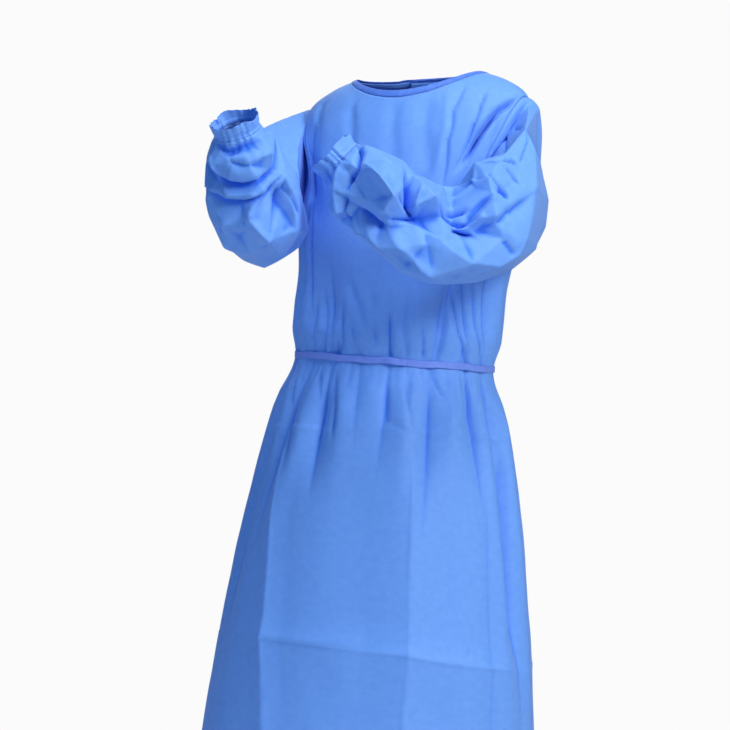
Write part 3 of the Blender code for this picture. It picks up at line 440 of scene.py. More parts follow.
# Neck binding and tab
BINDING_ROUND, BINDING_PUCKER, BINDING_GROOVE, BINDING_STITCH_RAISE = 0.9 * MM, 0.16 * MM, 0.5 * MM, 0.25 * MM
BINDING_PUCKERS, BINDING_SWELLS, GROOVE_PLACE, GROOVE_WIDTH = 61, 17, 0.80, 0.06
TAB_BELOW_BINDING, TAB_HALF_HEIGHT, TAB_FLAT_END = 4 * MM, 11 * MM, 4.0
TAB_RAISE, TAB_EDGE_DROP = 1.5 * MM, 0.5 * MM
TAB_STITCH_SQUARE = ((-0.8, -0.75), (0.8, -0.75), (0.8, 0.75), (-0.8, 0.75), (-0.8, -0.75))

# Belt, with the section of its folded tape in millimetres, its knot and its two ends
TAPE_PROFILE = (-0.35, 0.0, 0.12, 0.02, -0.05, 0.02, 0.12, 0.0, -0.35)
BELT_RAISE = BELT_CLEARANCE + 0.85 * MM
BELT_JOIN_ANGLE, BELT_JOIN_LAP, BELT_JOIN_RAMP, BELT_JOIN_RISE = 13.0, 5.0, 11.0, 9.0
BELT_JOIN_STEP, BELT_JOIN_TILT, BELT_JOIN_TURN = 1.8 * MM, 0.30, 3.0
# Its waves, as how many go round the body and their height: broad and small sway, ripple, and rock in radians
BELT_WAVES = ((7, 0.7 * MM), (19, 0.4 * MM), (31, 0.25 * MM), (13, 0.06))
KNOT_ANGLE, KNOT_HALF_SIZE, KNOT_CORE = 180.0, (12.0 * MM, 5.5 * MM, 10.0 * MM), (0.86, 0.80, 0.86)
# The knot's turns of tape: how far each leans, in radians, and its share of the knot's size
KNOT_TURNS = ((0.5, 1.0), (-0.55, 0.92), (1.45, 0.86))
KNOT_TAPE_WIDTH, KNOT_TAPE_THICKNESS, KNOT_OVERLAP, KNOT_RIDGE = 5.5 * MM, 0.5 * MM, 1 * MM, 0.05
# Length, lean in degrees, and where its waver and its curl start
BELT_ENDS = {"left": (0.150, -3.2, 1.0, 0.0), "right": (0.128, 3.6, 2.6, 1.9)}
TAIL_RAISE, TAIL_SPREAD = LAP_STEP + 2.4 * MM, 1.5
TAIL_WAVER, TAIL_WAVERS, TAIL_CURL, TAIL_CURLS = 0.9 * MM, 9, 0.28, 6

# Sewing thread
STITCH_LENGTH, STITCH_GAP, STITCH_SAMPLES = 2.8 * MM, 0.9 * MM, 3
TAB_STITCH_LENGTH, TAB_STITCH_GAP = 2.4 * MM, 0.8 * MM
THREAD_RADIUS, THREAD_RAISE, THREAD_SIDES, THREAD_TURN = 0.22 * MM, 0.12 * MM, 5, (0.31, 0.47, 0.83)
THREAD_END, HEM_STITCH_INSET, CUFF_STITCH_ROW = 0.93, 1.5 * MM, 3

# Materials, by what they are and how they were made
CLOTH, TAPE = "spunbond polypropylene", "pressed nonwoven tape"
BINDING, THREAD = "pressed nonwoven binding", "polyester sewing thread"
CLOUD_SIZE, FIBRE_SIZE, BOND_SPACING = 9 * MM, 1.1 * MM, 1.3 * MM
# Where shade is painted into folds: cells looked over on each side, and the depths at which cloth begins to
# count as folded and is quite folded, on an open panel and on a closed one
PAINTED_SHADE_CELLS, PAINTED_SHADE_FREE_DEPTH, PAINTED_SHADE_FULL_DEPTHS = (3, 7), 0.25 * MM, (4.5 * MM, 2.2 * MM)

# Lights, each with its place and size, what they aim at, and the floor
LIGHTS = {
    "key": ((2.7, -2.0, 1.6), 1.2),
    "top": ((0.5, -1.0, 1.9), 0.9),
    "fill": ((-2.2, -2.5, 0.1), 2.4),
    "back": ((-1.2, 2.8, 1.0), 2.4),
}
LIGHTS_AIM = (0.0, -0.1, -0.45)
FLOOR_REACH, FLOOR_FADE = 9.0, (0.6, 1.6)
SURROUND_SEEN = "#FBFBFB"


def smoothstep(value):
    """0 below 0, 1 above 1, and a soft step between them."""
    t = np.clip(value, 0.0, 1.0)
    return t * t * (3.0 - 2.0 * t)


def cubic(t, start, leaving, end, arriving):
    """A cubic curve from start to end, with the slopes it has at both."""
    return (
        (1 + 2 * t) * (1 - t) ** 2 * start
        + t * (1 - t) ** 2 * leaving
        + t * t * (3 - 2 * t) * end
        + t * t * (t - 1) * arriving
    )


def through(stations, values, at):
    """A curve through values at the given stations, with no overshoot between them (monotone cubic)."""
    stations, values = np.asarray(stations, float), np.asarray(values, float)
    step = np.diff(stations)
    slope = np.diff(values) / step
    tangent = np.zeros_like(values)
    tangent[0], tangent[-1] = slope[0], slope[-1]
    for i in range(1, len(values) - 1):
        if slope[i - 1] * slope[i] > 0:
            before, after = 2 * step[i] + step[i - 1], step[i] + 2 * step[i - 1]
            tangent[i] = (before + after) / (before / slope[i - 1] + after / slope[i])
    at = np.clip(np.asarray(at, float), stations[0], stations[-1])
    cell = np.clip(np.searchsorted(stations, at, side="right") - 1, 0, len(step) - 1)
    h, t = step[cell], (at - stations[cell]) / step[cell]
    return cubic(t, values[cell], h * tangent[cell], values[cell + 1], h * tangent[cell + 1])


def unit(vectors):
    """Vectors of length 1."""
    return vectors / np.linalg.norm(vectors, axis=-1, keepdims=True)


def reach_along(points):
    """How far each point lies along its line, for one line or for each column of a grid."""
    steps = np.linalg.norm(np.diff(points, axis=0), axis=-1)
    return np.concatenate([np.zeros_like(steps[:1]), np.cumsum(steps, axis=0)])


def read_line(at, stations, line):
    """Points of a line at distances along it."""
    return np.stack([np.interp(at, stations, line[:, i]) for i in range(3)], axis=-1)


def turn_between(angle, other):
    """The signed turn from other to angle by the shorter way, in radians."""
    return np.radians((angle - other + 180.0) % 360.0 - 180.0)


# How far each named ring lies from the neck, down the side of the body
STATIONS = dict(zip(BODY_RINGS, reach_along(np.array([(row[0], row[4]) for row in BODY_RINGS.values()]))))
STEP_ANGLE, STEP_DOWN = 0.05, 0.05 * MM


def body_base(angle, down):
    """Points of the plain body at angles in degrees and distances down from the neck."""
    columns = zip(*BODY_RINGS.values())
    half_width, front, back, z_front, z_side, z_back, middle_x = (
        through(list(STATIONS.values()), column, down) for column in columns
    )
    sine, cosine = np.sin(np.radians(angle)), np.cos(np.radians(angle))
    x, y = half_width * sine, -(front * (1 + cosine) / 2 + back * (1 - cosine) / 2) * cosine
    z = z_side + (z_front - z_side) * np.maximum(cosine, 0) ** 2
    z = z + (z_back - z_side) * np.maximum(-cosine, 0) ** 2
    z = z + SHOULDER_TILT * x * smoothstep(1 - z / SHOULDER_TILT_ENDS_Z)
    turn = np.radians(SHOULDER_TURN) * smoothstep(1 - z / SHOULDER_TURN_ENDS_Z)
    turned_x = x * np.cos(turn) - y * np.sin(turn) + middle_x
    turned_y = x * np.sin(turn) + y * np.cos(turn)
    return np.stack(np.broadcast_arrays(turned_x, turned_y, z), axis=-1)


def body_normals(angle, down):
    """Unit normals of the plain body, by small steps each way."""
    down = np.clip(down, 2 * STEP_DOWN, STATIONS["hem"] - 2 * STEP_DOWN)
    round_way = body_base(angle + STEP_ANGLE, down) - body_base(angle - STEP_ANGLE, down)
    down_way = body_base(angle, down + STEP_DOWN) - body_base(angle, down - STEP_DOWN)
    return unit(np.cross(down_way, round_way))


def trough(aside, half_width, ridge):
    """The section of a fold: 1 at its bottom, with a ridge of that share of its depth on each side."""
    away = np.abs(aside / half_width)
    return np.exp(-away) - ridge * np.exp(-(((away - RIDGE_PLACE) / RIDGE_HALF_WIDTH) ** 2))


def body_folds(angle, base):
    """How far the folds at the belt, and then those below the shoulders, push the cloth in."""
    z, radius = base[..., 2], np.hypot(base[..., 0], base[..., 1])
    above = z - BELT_HEIGHT
    opening = smoothstep((np.abs(above) - BELT_WIDTH) / PINCH_REACH)
    pushed = np.zeros_like(radius)
    for at_belt, at_top, at_bottom, rise, fall, depth, half_width in BELT_FOLDS:
        share = np.where(above > 0, above / rise, -above / fall)
        end = np.where(above > 0, at_top, at_bottom)
        aside = turn_between(angle, at_belt + (end - at_belt) * np.clip(share, 0, 1)) * radius
        width = PINCH_HALF_WIDTH + (half_width - PINCH_HALF_WIDTH) * opening
        deep = PINCH_DEPTH * (1 - opening) + depth * opening * smoothstep((1 - share) / FOLD_FADE)
        pushed += deep * trough(aside, width, RIDGE_SHARE * opening)
    for top_angle, top_z, bottom_angle, bottom_z, depth, half_width in DRAG_FOLDS:
        share = (top_z - z) / (top_z - bottom_z)
        aside = turn_between(angle, top_angle + (bottom_angle - top_angle) * np.clip(share, 0, 1)) * radius
        length = smoothstep(share / DRAG_FADE) * smoothstep((1 - share) / DRAG_FADE)
        pushed += depth * length * trough(aside, half_width, RIDGE_SHARE)
    return pushed


def body_at(angle, down):
    """The plain body's points and normals, and how deep its folds are there."""
    base = body_base(angle, down)
    return base, body_normals(angle, down), body_folds(angle, base)


def lap_lift(angle):
    """How far the outer back panel stands off the inner one."""
    return LAP_STEP * smoothstep((np.abs(angle) - 180.0 + BACK_LAP + LAP_RAMP) / LAP_RISE)


def smooth_body(angle, down, lift):
    """Points lifted off the body without its folds, for what lies over them or behind them."""
    return body_base(angle, down) + body_normals(angle, down) * np.asarray(lift)[..., None]


def body_rows():
    """Distances down from the neck of every row of cells, closer together round the ends of the armholes."""
    rows = [BINDING_WIDTH + SEAM_GAP]
    for (start, end), count in ROWS_BETWEEN.items():
        share = np.arange(1, count + 1) / count
        if start == "shoulder":
            share = (1 - np.cos(np.pi * share)) / 2
        first = rows[0] if start == "neck" else STATIONS[start]
        rows += list(first + (STATIONS[end] - first) * share)
    for top, bottom in PRESSED_BANDS:
        rows = [row for row in rows if not top < row < bottom]
        rows += list(np.arange(top + PRESSED_ROW_STEP, bottom, PRESSED_ROW_STEP))
    return np.array(sorted(rows))


def seam_angle(down, reach):
    """The angle of the side's seam at distances down, opened by reach degrees round the armhole."""
    top, bottom = STATIONS["shoulder"], STATIONS["underarm"]
    share = (down - top) / (bottom - top)
    return SIDE_SEAM + reach * np.sqrt(np.clip(1 - (2 * share - 1) ** 2, 0, None))


def panel_edge(down, reach):
    """A panel's edge along that seam, half of the seam's gap away from it."""
    ends = body_base(SIDE_SEAM + STEP_ANGLE, down) - body_base(SIDE_SEAM - STEP_ANGLE, down)
    trim = SEAM_GAP * STEP_ANGLE / np.linalg.norm(ends, axis=-1)
    return seam_angle(down, reach) + math.copysign(1, reach) * trim


def armhole_frame(side, columns):
    """Points round one armhole, down its front edge from the shoulder and up its back edge, with the way in
    from each and the body's normals there."""
    half = columns // 2
    share = (1 - np.cos(np.pi * np.arange(half + 1) / half)) / 2
    down = STATIONS["shoulder"] + (STATIONS["underarm"] - STATIONS["shoulder"]) * share
    front, back = seam_angle(down, ARMHOLE_FRONT_REACH), seam_angle(down, ARMHOLE_BACK_REACH)
    angle = np.concatenate([front, back[-2:0:-1]]) * side
    base, normal, folds = body_at(angle, np.concatenate([down, down[-2:0:-1]]))
    loop = base - normal * folds[..., None]
    inward = loop.mean(axis=0) - loop
    return loop, unit(inward - normal * np.sum(inward * normal, axis=-1, keepdims=True)), normal


def frames_along(centre):
    """Unit directions along and up a middle line of even steps, turned no more than its bends need."""
    kernel = np.hanning(2 * BEND_STEPS + 1)
    kernel /= kernel.sum()
    padded = np.pad(unit(np.gradient(centre, axis=0)), ((BEND_STEPS, BEND_STEPS), (0, 0)), mode="edge")
    tangent = unit(np.stack([np.convolve(padded[:, i], kernel, mode="valid") for i in range(3)], axis=-1))
    up = [np.array([0.0, 0.0, 1.0])]
    for along in tangent:
        up.append(unit(up[-1] - along * np.dot(up[-1], along)))
    return tangent, np.array(up[1:])


def plain_sleeve(side, table):
    """A sleeve's surface without folds, and the distances of its rings from the armhole."""
    loop, inward, _ = armhole_frame(side, SLEEVE_COLUMNS)
    loop = loop + inward * ARMHOLE_INSET
    table = np.array(table)
    stations = reach_along(table[:, :3])
    fine = np.linspace(0, stations[-1], MIDDLE_LINE_STEPS + 1)
    centre = np.stack([through(stations, table[:, i], fine) for i in range(3)], axis=-1)
    tangent, up = frames_along(centre)
    across = np.cross(tangent, up) * side
    across = across * np.sign(np.dot(across[0], (-side, 0.0, 0.0)))
    turn = np.radians(np.arange(SLEEVE_COLUMNS) * 360.0 / SLEEVE_COLUMNS)

    def rings(distance):
        """The sleeve's rings at distances along its middle line, and the way they face."""
        middle, high, wide, facing = (
            read_line(distance, fine, line)[:, None, :] for line in (centre, up, across, tangent)
        )
        half_height = through(stations, table[:, 3], distance)[:, None] * np.cos(turn)
        half_breadth = through(stations, table[:, 4], distance)[:, None] * np.sin(turn)
        return middle + high * half_height[..., None] + wide * half_breadth[..., None], facing

    first, facing = (found[0] for found in rings(np.zeros(1)))
    reach = np.linalg.norm(first - loop, axis=-1, keepdims=True)
    shoulder_length = reach.mean()
    distance = np.linspace(0, shoulder_length + stations[-1], SLEEVE_ROWS + 1)
    leaving = unit(np.array(LEAVING) * (side, 1.0, 1.0))
    t = np.minimum(distance / shoulder_length, 1.0)[:, None, None]
    shoulder = cubic(t, loop, reach * leaving * LEAVING_SHARE, first, reach * facing * LEAVING_SHARE)
    sleeve = rings(np.maximum(distance - shoulder_length, 0.0))[0]
    return np.where((distance < shoulder_length)[:, None, None], shoulder, sleeve), distance


def slack_depth(slack, share, turn, length, radius):
    """How far the solids' folds of slack push a sleeve in."""
    pushed = np.zeros(np.broadcast(share, turn).shape)
    for start, start_round, end, end_round, depth, half_width in slack:
        along, aside = (share - start) * length, turn_between(turn, start_round) * radius
        to_along, to_aside = (end - start) * length, turn_between(end_round, start_round) * radius
        place = np.clip((along * to_along + aside * to_aside) / (to_along**2 + to_aside**2), 0, 1)
        away = np.hypot(along - place * to_along, aside - place * to_aside)
        pushed += depth * np.exp(-((away / half_width) ** 2))
    return pushed


def middle_of(points, closed_round):
    """What a grid of cloth goes round: the middle of each closed ring, or else the upright axis."""
    return points.mean(axis=1, keepdims=True) if closed_round else np.array((0.0, 0.0, 1.0)) * points


def ring_normals(points):
    """Unit normals of a grid of rings, by its neighbours, pointing away from each ring's middle."""
    round_way = np.roll(points, -1, axis=1) - np.roll(points, 1, axis=1)
    normal = unit(np.cross(np.gradient(points, axis=0), round_way))
    return normal * np.sign(np.sum(normal * (points - middle_of(points, True))))


def view_back():
    """The unit direction from what the photo's camera looks at back to the camera."""
    azimuth = math.radians(VIEW_AZIMUTH)
    return np.array((math.sin(azimuth), -math.cos(azimuth), 0.0))


def in_photo(points):
    """Where points lie in the photo, in pixels across and down, and how near they come to the camera."""
    azimuth, roll = math.radians(VIEW_AZIMUTH), math.radians(VIEW_ROLL)
    away = points - np.array(VIEW_TARGET)
    near = away @ view_back()
    right = away[..., 0] * math.cos(azimuth) + away[..., 1] * math.sin(azimuth)
    scale = VIEW_DISTANCE / (VIEW_DISTANCE - near) * PHOTO_SIZE / 2 / VIEW_HALF_WIDTH
    right, up = right * scale, away[..., 2] * scale
    x = PHOTO_SIZE / 2 + right * math.cos(roll) + up * math.sin(roll)
    y = PHOTO_SIZE / 2 + right * math.sin(roll) - up * math.cos(roll)
    return x, y, near


class Cloth:
    """A grid of cloth before it's creased, and how deep its creases are.

    along is each point's distance along the garment in metres, turn its angle round it in degrees.
    """

    def __init__(self, points, normals, along, turn, closed_round=False):
        self.points, self.normals = points, normals
        self.along, self.turn = np.broadcast_arrays(along, turn)
        away = np.linalg.norm(points - middle_of(points, closed_round), axis=-1)
        self.radius = away.mean(axis=1, keepdims=True)
        self.depth = np.zeros(points.shape[:2])
        self.facing = normals @ view_back()
        self.photo_x, self.photo_y, self.near = in_photo(points)

    def seen_at(self, pixel):
        """The cloth's place that the photo shows at a pixel: distance along and angle round."""
        away = np.hypot(self.photo_x - pixel[0], self.photo_y - pixel[1])
        away = np.where(self.facing > 0, away, np.inf)
        nearest = np.where(away < away.min() + PIXEL_REACH, self.near, -np.inf)
        place = np.unravel_index(np.argmax(nearest - away * MM), away.shape)
        return self.along[place], self.turn[place]

    def nearest(self, along, turn):
        """The grid's own place nearest to a distance along and an angle round."""
        away = np.hypot(self.along - along, turn_between(self.turn, turn) * self.radius)
        return np.unravel_index(np.argmin(away), away.shape)

    def crease(self, path, depth, left, right, power):
        """Deepens the cloth along a path of places, less and less beside it, in millimetres."""
        best = np.full(self.depth.shape, np.inf)
        side, gone = np.zeros_like(best), np.zeros_like(best)
        for i, ((along, turn), (next_along, next_turn)) in enumerate(zip(path, path[1:])):
            x, y = self.along - along, turn_between(self.turn, turn) * self.radius
            to_x, to_y = next_along - along, turn_between(next_turn, turn) * self.radius
            share = np.clip((x * to_x + y * to_y) / (to_x**2 + to_y**2 + NEVER_ZERO), 0, 1)
            off_x, off_y = x - share * to_x, y - share * to_y
            away = np.hypot(off_x, off_y)
            closer = away < best
            best = np.where(closer, away, best)
            side = np.where(closer, to_x * off_y - to_y * off_x, side)
            gone = np.where(closer, (i + share) / (len(path) - 1), gone)
        reach = np.minimum(best / (np.where(side > 0, left, right) * MM), CREASE_REACH)
        fade = smoothstep(gone / CREASE_FADE) * smoothstep((1 - gone) / CREASE_FADE)
        profile = np.exp(-(reach**power)) if power else np.clip(1 - reach, 0, 1) ** TENT_POWER
        self.depth += depth * MM * (CREASE_END_SHARE + (1 - CREASE_END_SHARE) * fade) * profile

    def crease_as_seen(self, rows, deeper, wider=1.0):
        """Lays creases where the photo shows them. Left and right are as one goes along them in the photo."""
        for path, depth, left, right, power in rows:
            places = [self.seen_at(pixel) for pixel in path]
            (x, y), (next_x, next_y) = path[0], path[-1]
            beside = (x + next_x) / 2 + (next_y - y) * BESIDE, (y + next_y) / 2 - (next_x - x) * BESIDE
            along, turn = self.seen_at(beside)
            (first_along, first_turn), (last_along, last_turn) = places[0], places[-1]
            to_x, to_y = last_along - first_along, turn_between(last_turn, first_turn)
            if to_x * turn_between(turn, first_turn) - to_y * (along - first_along) <= 0:
                left, right = right, left
            self.crease(places, depth * deeper, left * wider, right * wider, power)

    def wave(self, size):
        """Adds broad soft waves of that size, with smaller and weaker ones over them."""
        flat = self.points.reshape(-1, 3) / size
        small = flat * SMALL_WAVE_SCALE + SMALL_WAVE_SHIFT
        heights = [noise.noise(p) + SMALL_WAVE_SHARE * noise.noise(q) for p, q in zip(flat, small)]
        self.depth += WAVE_HEIGHT * np.array(heights).reshape(self.depth.shape)

    def scattered(self, seed):
        """Corners for facets, scattered over the cloth: distance along, angle and how far out."""
        rng = np.random.default_rng(seed)
        start, end = self.along.min() - FACET_SPACING, self.along.max() + 2 * FACET_SPACING
        for along in np.arange(start, end, FACET_SPACING):
            row = np.argmin(np.abs(self.along[:, 0] - along))
            span = np.ptp(self.turn[row])
            count = max(3, round(span * np.radians(1) * self.radius[row, 0] / FACET_SPACING))
            for place in range(count):
                turn = self.turn[row].min() + (place + rng.uniform(-FACET_STRAY, FACET_STRAY)) * span / count
                out = rng.normal(0, FACET_HEIGHT)
                yield along + rng.uniform(-FACET_STRAY, FACET_STRAY) * FACET_SPACING, turn, out

    def facet(self, corners, amount):
        """Draws closed cloth flat between its corners, as crisp paper is, where amount is 1."""
        radius = self.radius.mean()
        corners = [(along, turn + way, out) for along, turn, out in corners for way in (-360, 0, 360)]
        flat = [Vector((along, math.radians(turn) * radius)) for along, turn, _ in corners]
        verts, _, triangles, kept, _, _ = geometry.delaunay_2d_cdt(flat, [], [], 0, TOUCHING, True)
        places = []
        for along, turn, out in (corners[found[0]] for found in kept):
            found = self.nearest(along, turn)
            places.append(self.points[found] + self.normals[found] * (out - self.depth[found]))
        verts, places = np.array(verts), np.array(places)
        spots = np.stack([self.along.ravel(), np.radians(self.turn).ravel() * radius])
        surface = self.creased()
        drawn = surface.reshape(-1, 3).copy()
        for first, *others in triangles:
            sides = (verts[others] - verts[first]).T
            if not np.linalg.det(sides):
                continue
            shares = np.linalg.inv(sides) @ (spots - verts[first][:, None])
            held = (shares.min(axis=0) >= -TOUCHING) & (shares.sum(axis=0) <= 1 + TOUCHING)
            drawn[held] = places[first] + shares[:, held].T @ (places[others] - places[first])
        self.points = surface + amount[..., None] * (drawn.reshape(surface.shape) - surface)
        self.depth = np.zeros_like(self.depth)

    def creased(self):
        """The points once the creases are in."""
        return self.points - self.normals * self.depth[..., None]


def linear(hex_colour):
    """A colour given as sRGB hex, as linear RGBA."""
    channels = [int(hex_colour[i : i + 2], 16) / 255 for i in (1, 3, 5)]
    return (*[c / 12.92 if c <= 0.04045 else ((c + 0.055) / 1.055) ** 2.4 for c in channels], 1.0)


def node(tree, kind, settings=None, **links):
    """Adds a node with its settings and what feeds its sockets: a value, or another node's output.

    A socket is given by its name, or by its number after an underscore.
    """
    made = tree.nodes.new(kind)
    for name, value in (settings or {}).items():
        setattr(made, name, value)
    for name, value in links.items():
        socket = made.inputs[int(name[1:]) if name[0] == "_" else name.replace("_", " ")]
        if isinstance(value, bpy.types.NodeSocket):
            tree.links.new(value, socket)
        else:
            socket.default_value = value
    return made


def clear_tree(owner):
    """The emptied node tree of a material or a world."""
    owner.use_nodes = True
    owner.node_tree.nodes.clear()
    return owner.node_tree


def spunbond(name, light, dark, folded, roughness):
    """Spunbonded polypropylene: matte, faintly cloudy, and dimpled by its bond points, with shade painted
    into its folds.
    """
    material = bpy.data.materials.new(name)
    tree = clear_tree(material)
    metres = node(tree, "ShaderNodeTexCoord").outputs["UV"]
    cloud = node(tree, "ShaderNodeTexNoise", Vector=metres, Scale=1 / CLOUD_SIZE, Detail=5, Roughness=0.62)
    fibre_way = node(tree, "ShaderNodeMapping", Vector=metres, Scale=(1.0, 0.22, 1.0)).outputs[0]
    fibres = node(tree, "ShaderNodeTexNoise", Vector=fibre_way, Scale=1 / FIBRE_SIZE, Detail=4, Roughness=0.7)
    tones = node(tree, "ShaderNodeValToRGB", Fac=cloud.outputs["Fac"])
    for element, position, tone in zip(tones.color_ramp.elements, (0.30, 0.70), (dark, light)):
        element.position, element.color = position, linear(tone)
    # Painted shade: down in folds the colour is mixed towards a deeper blue, standing in for the light
    # that bounces about in a fold and comes out bluer
    fold = node(tree, "ShaderNodeAttribute", {"attribute_name": "folded"}).outputs["Fac"]
    mixing = {"data_type": "RGBA"}
    colour = node(tree, "ShaderNodeMix", mixing, Factor=fold, _6=tones.outputs[0], _7=linear(folded))
    # Bond points are pressed so close together that they show only close up
    flat = {"feature": "F1", "voronoi_dimensions": "2D"}
    bonds = node(tree, "ShaderNodeTexVoronoi", flat, Vector=metres, Scale=1 / BOND_SPACING, Randomness=0.08)
    dimples = node(tree, "ShaderNodeMapRange", Value=bonds.outputs["Distance"], From_Min=0.12, From_Max=0.42)
    relief = None
    for height, strength, deep in ((fibres.outputs["Fac"], 0.20, 0.12), (dimples.outputs[0], 0.45, 0.10)):
        under = {"Normal": relief.outputs[0]} if relief else {}
        relief = node(tree, "ShaderNodeBump", Height=height, Strength=strength, Distance=deep * MM, **under)
    shader = node(
        tree,
        "ShaderNodeBsdfPrincipled",
        Base_Color=colour.outputs["Result"],
        Roughness=roughness,
        IOR=1.49,
        Normal=relief.outputs[0],
        Sheen_Weight=0.12,
        Sheen_Roughness=0.45,
        Specular_IOR_Level=0.35,
    )
    node(tree, "ShaderNodeOutputMaterial", Surface=shader.outputs[0])


def material_called(name):
    """The material of that name, made when it is first asked for."""
    if name not in bpy.data.materials:
        look = bpy.context.scene.gown_looks
        # The third colour of each is painted shade, mixed in down in folds
        tones = {
            CLOTH: (look.cloth_light, look.cloth_dark, look.cloth_painted_shade, 0.62),
            TAPE: (look.tape_light, look.tape_dark, look.tape_dark, 0.55),
            BINDING: (look.binding_light, look.binding_dark, look.cloth_painted_shade, 0.58),
            THREAD: (look.thread_light, look.thread_dark, look.thread_dark, 0.50),
        }
        spunbond(name, *tones[name])
    return bpy.data.materials[name]


def painted_fold_shade(points, closed_round):
    """How far down in a fold each point of a grid lies, from 0 to 1, by the cloth round it: the painted
    shade's mask.
    """
    facing = unit(np.cross(np.gradient(points, axis=0), np.gradient(points, axis=1)) + NEVER_ZERO)
    facing = facing * np.sign(np.sum(facing * (points - middle_of(points, closed_round))))
    share = np.zeros(points.shape[:2])
    for cells in PAINTED_SHADE_CELLS:
        kernel = np.hanning(2 * cells + 3)[1:-1]
        kernel /= kernel.sum()
        around = points
        for axis in (0, 1) if closed_round else (1,):
            pad = [(cells, cells) if axis == i else (0, 0) for i in range(3)]
            padded = np.pad(around, pad, mode="wrap" if closed_round and axis == 1 else "edge")
            shifted = (np.take(padded, range(i, i + points.shape[axis]), axis) for i in range(len(kernel)))
            around = sum(weight * moved for weight, moved in zip(kernel, shifted))
        below = np.sum((around - points) * facing, axis=-1)
        share += np.clip((below - np.median(below) - PAINTED_SHADE_FREE_DEPTH) / PAINTED_SHADE_FULL_DEPTHS[closed_round], 0, 1)
    return np.clip(share, 0, 1)


def add_mesh(name, points, faces, material):
    """An object in the scene, made of a mesh."""
    mesh = bpy.data.meshes.new(name)
    mesh.from_pydata(points, [], faces)
    mesh.materials.append(material)
    mesh.shade_smooth()
    made = bpy.data.objects.new(name, mesh)
    bpy.context.scene.collection.objects.link(made)
    return made


def fix_piece(piece, nodes):
    """Fixes a piece to the gown, in place of the solids it stands for."""
    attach(piece, "root")
    if nodes:
        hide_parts(*nodes)
    return piece


def add_cloth(name, points, look, nodes, closed_round=False, thickness=None):
    """A piece of cloth over a grid of points, thickened inwards, with a UV map in metres."""
    rows, columns = points.shape[:2]
    ring = np.concatenate([points, points[:, :1]], axis=1) if closed_round else points
    row, column = (index.ravel() for index in np.mgrid[: rows - 1, : ring.shape[1] - 1])
    corners = [(row, column), (row, column + 1), (row + 1, column + 1), (row + 1, column)]
    first, second, third = (ring[corner] for corner in corners[:3])
    middle = np.broadcast_to(middle_of(points, closed_round), points.shape)[row, column]
    if np.sum(np.cross(second - first, third - first) * (first - middle)) < 0:
        corners.reverse()
    faces = np.stack([r * columns + c % columns for r, c in corners], axis=-1)
    made = add_mesh(name, points.reshape(-1, 3).tolist(), faces.tolist(), material_called(look))
    across, down = reach_along(ring.transpose(1, 0, 2)).mean(axis=1), reach_along(points).mean(axis=1)
    uv = np.stack([np.stack([across[c], down[r]], axis=-1) for r, c in corners], axis=1)
    made.data.uv_layers.new(name="metres").data.foreach_set("uv", uv.astype(np.float32).ravel())
    # How far down in a fold each point lies: the mask for the shade painted into the colour
    folded = made.data.attributes.new("folded", "FLOAT", "POINT")
    folded.data.foreach_set("value", painted_fold_shade(points, closed_round).astype(np.float32).ravel())
    shell = made.modifiers.new("Cloth thickness", "SOLIDIFY")
    sizes = bpy.context.scene.gown_sizes
    shell.thickness = thickness or (sizes.cloth_thickness if look == CLOTH else sizes.tape_thickness)
    shell.offset = -1.0
    return fix_piece(made, nodes)


def add_stitches(name, lines, length=STITCH_LENGTH, gap=STITCH_GAP):
    """Sewing thread along lines of points: each stitch is a short tube with rounded ends."""
    turn = np.arange(THREAD_SIDES)[:, None] * 2 * np.pi / THREAD_SIDES
    ends = np.linspace(-THREAD_END, THREAD_END, STITCH_SAMPLES)
    width = THREAD_RADIUS * np.sqrt(1 - ends**4)
    points, faces = [], []
    for line in lines:
        reach = reach_along(line)
        for start in np.arange(gap, reach[-1] - length, length + gap):
            run = read_line(np.linspace(start, start + length, STITCH_SAMPLES), reach, line)
            along = unit(np.gradient(run, axis=0))
            aside = unit(np.cross(along, THREAD_TURN))
            first = len(points)
            for centre, a, u, w in zip(run, aside, np.cross(along, aside), width):
                points += list(centre + w * (np.cos(turn) * a + np.sin(turn) * u))
            for ring in range(first, len(points) - THREAD_SIDES, THREAD_SIDES):
                for j in range(THREAD_SIDES):
                    k = (j + 1) % THREAD_SIDES
                    faces.append((ring + j, ring + k, ring + THREAD_SIDES + k, ring + THREAD_SIDES + j))
            faces.append(tuple(range(first + THREAD_SIDES - 1, first - 1, -1)))
            faces.append(tuple(range(len(points) - THREAD_SIDES, len(points))))
    made = add_mesh(name, [tuple(p) for p in points], faces, material_called(THREAD))
    return fix_piece(made, [])


def panel_shares(count):
    """Shares across a panel for its columns, closer together at its edges, where its seams are."""
    edge = np.array(EDGE_COLUMNS)
    inside = np.linspace(INNER_COLUMNS_START, 1 - INNER_COLUMNS_START, count + 1 - 2 * len(edge))
    return np.concatenate([edge, inside, 1 - edge[::-1]])


def body_cloth(edges, count):
    """A panel of the body between its two edges, with the solids' own folds."""
    down = body_rows()[:, None]
    start, end = (edge[:, None] for edge in edges)
    angle = start + (end - start) * panel_shares(count)[None, :]
    down = np.broadcast_to(down, angle.shape)
    base, normals, folds = body_at(angle, down)
    cloth = Cloth(base, normals, down, angle)
    cloth.depth += folds
    return cloth


def add_hidden_creases(cloth, start, end):
    """Lays the creases of the side that the photo hides, between two angles."""
    reach = np.linspace(0, STATIONS["hem"], READ_STEPS)
    for path, depth, left, right, power in HIDDEN_BODY_CREASES:
        if start < np.mean([angle for angle, _ in path]) < end:
            places = [(np.interp(-z, -body_base(angle, reach)[:, 2], reach), angle) for angle, z in path]
            cloth.crease(places, depth, left, right, power)


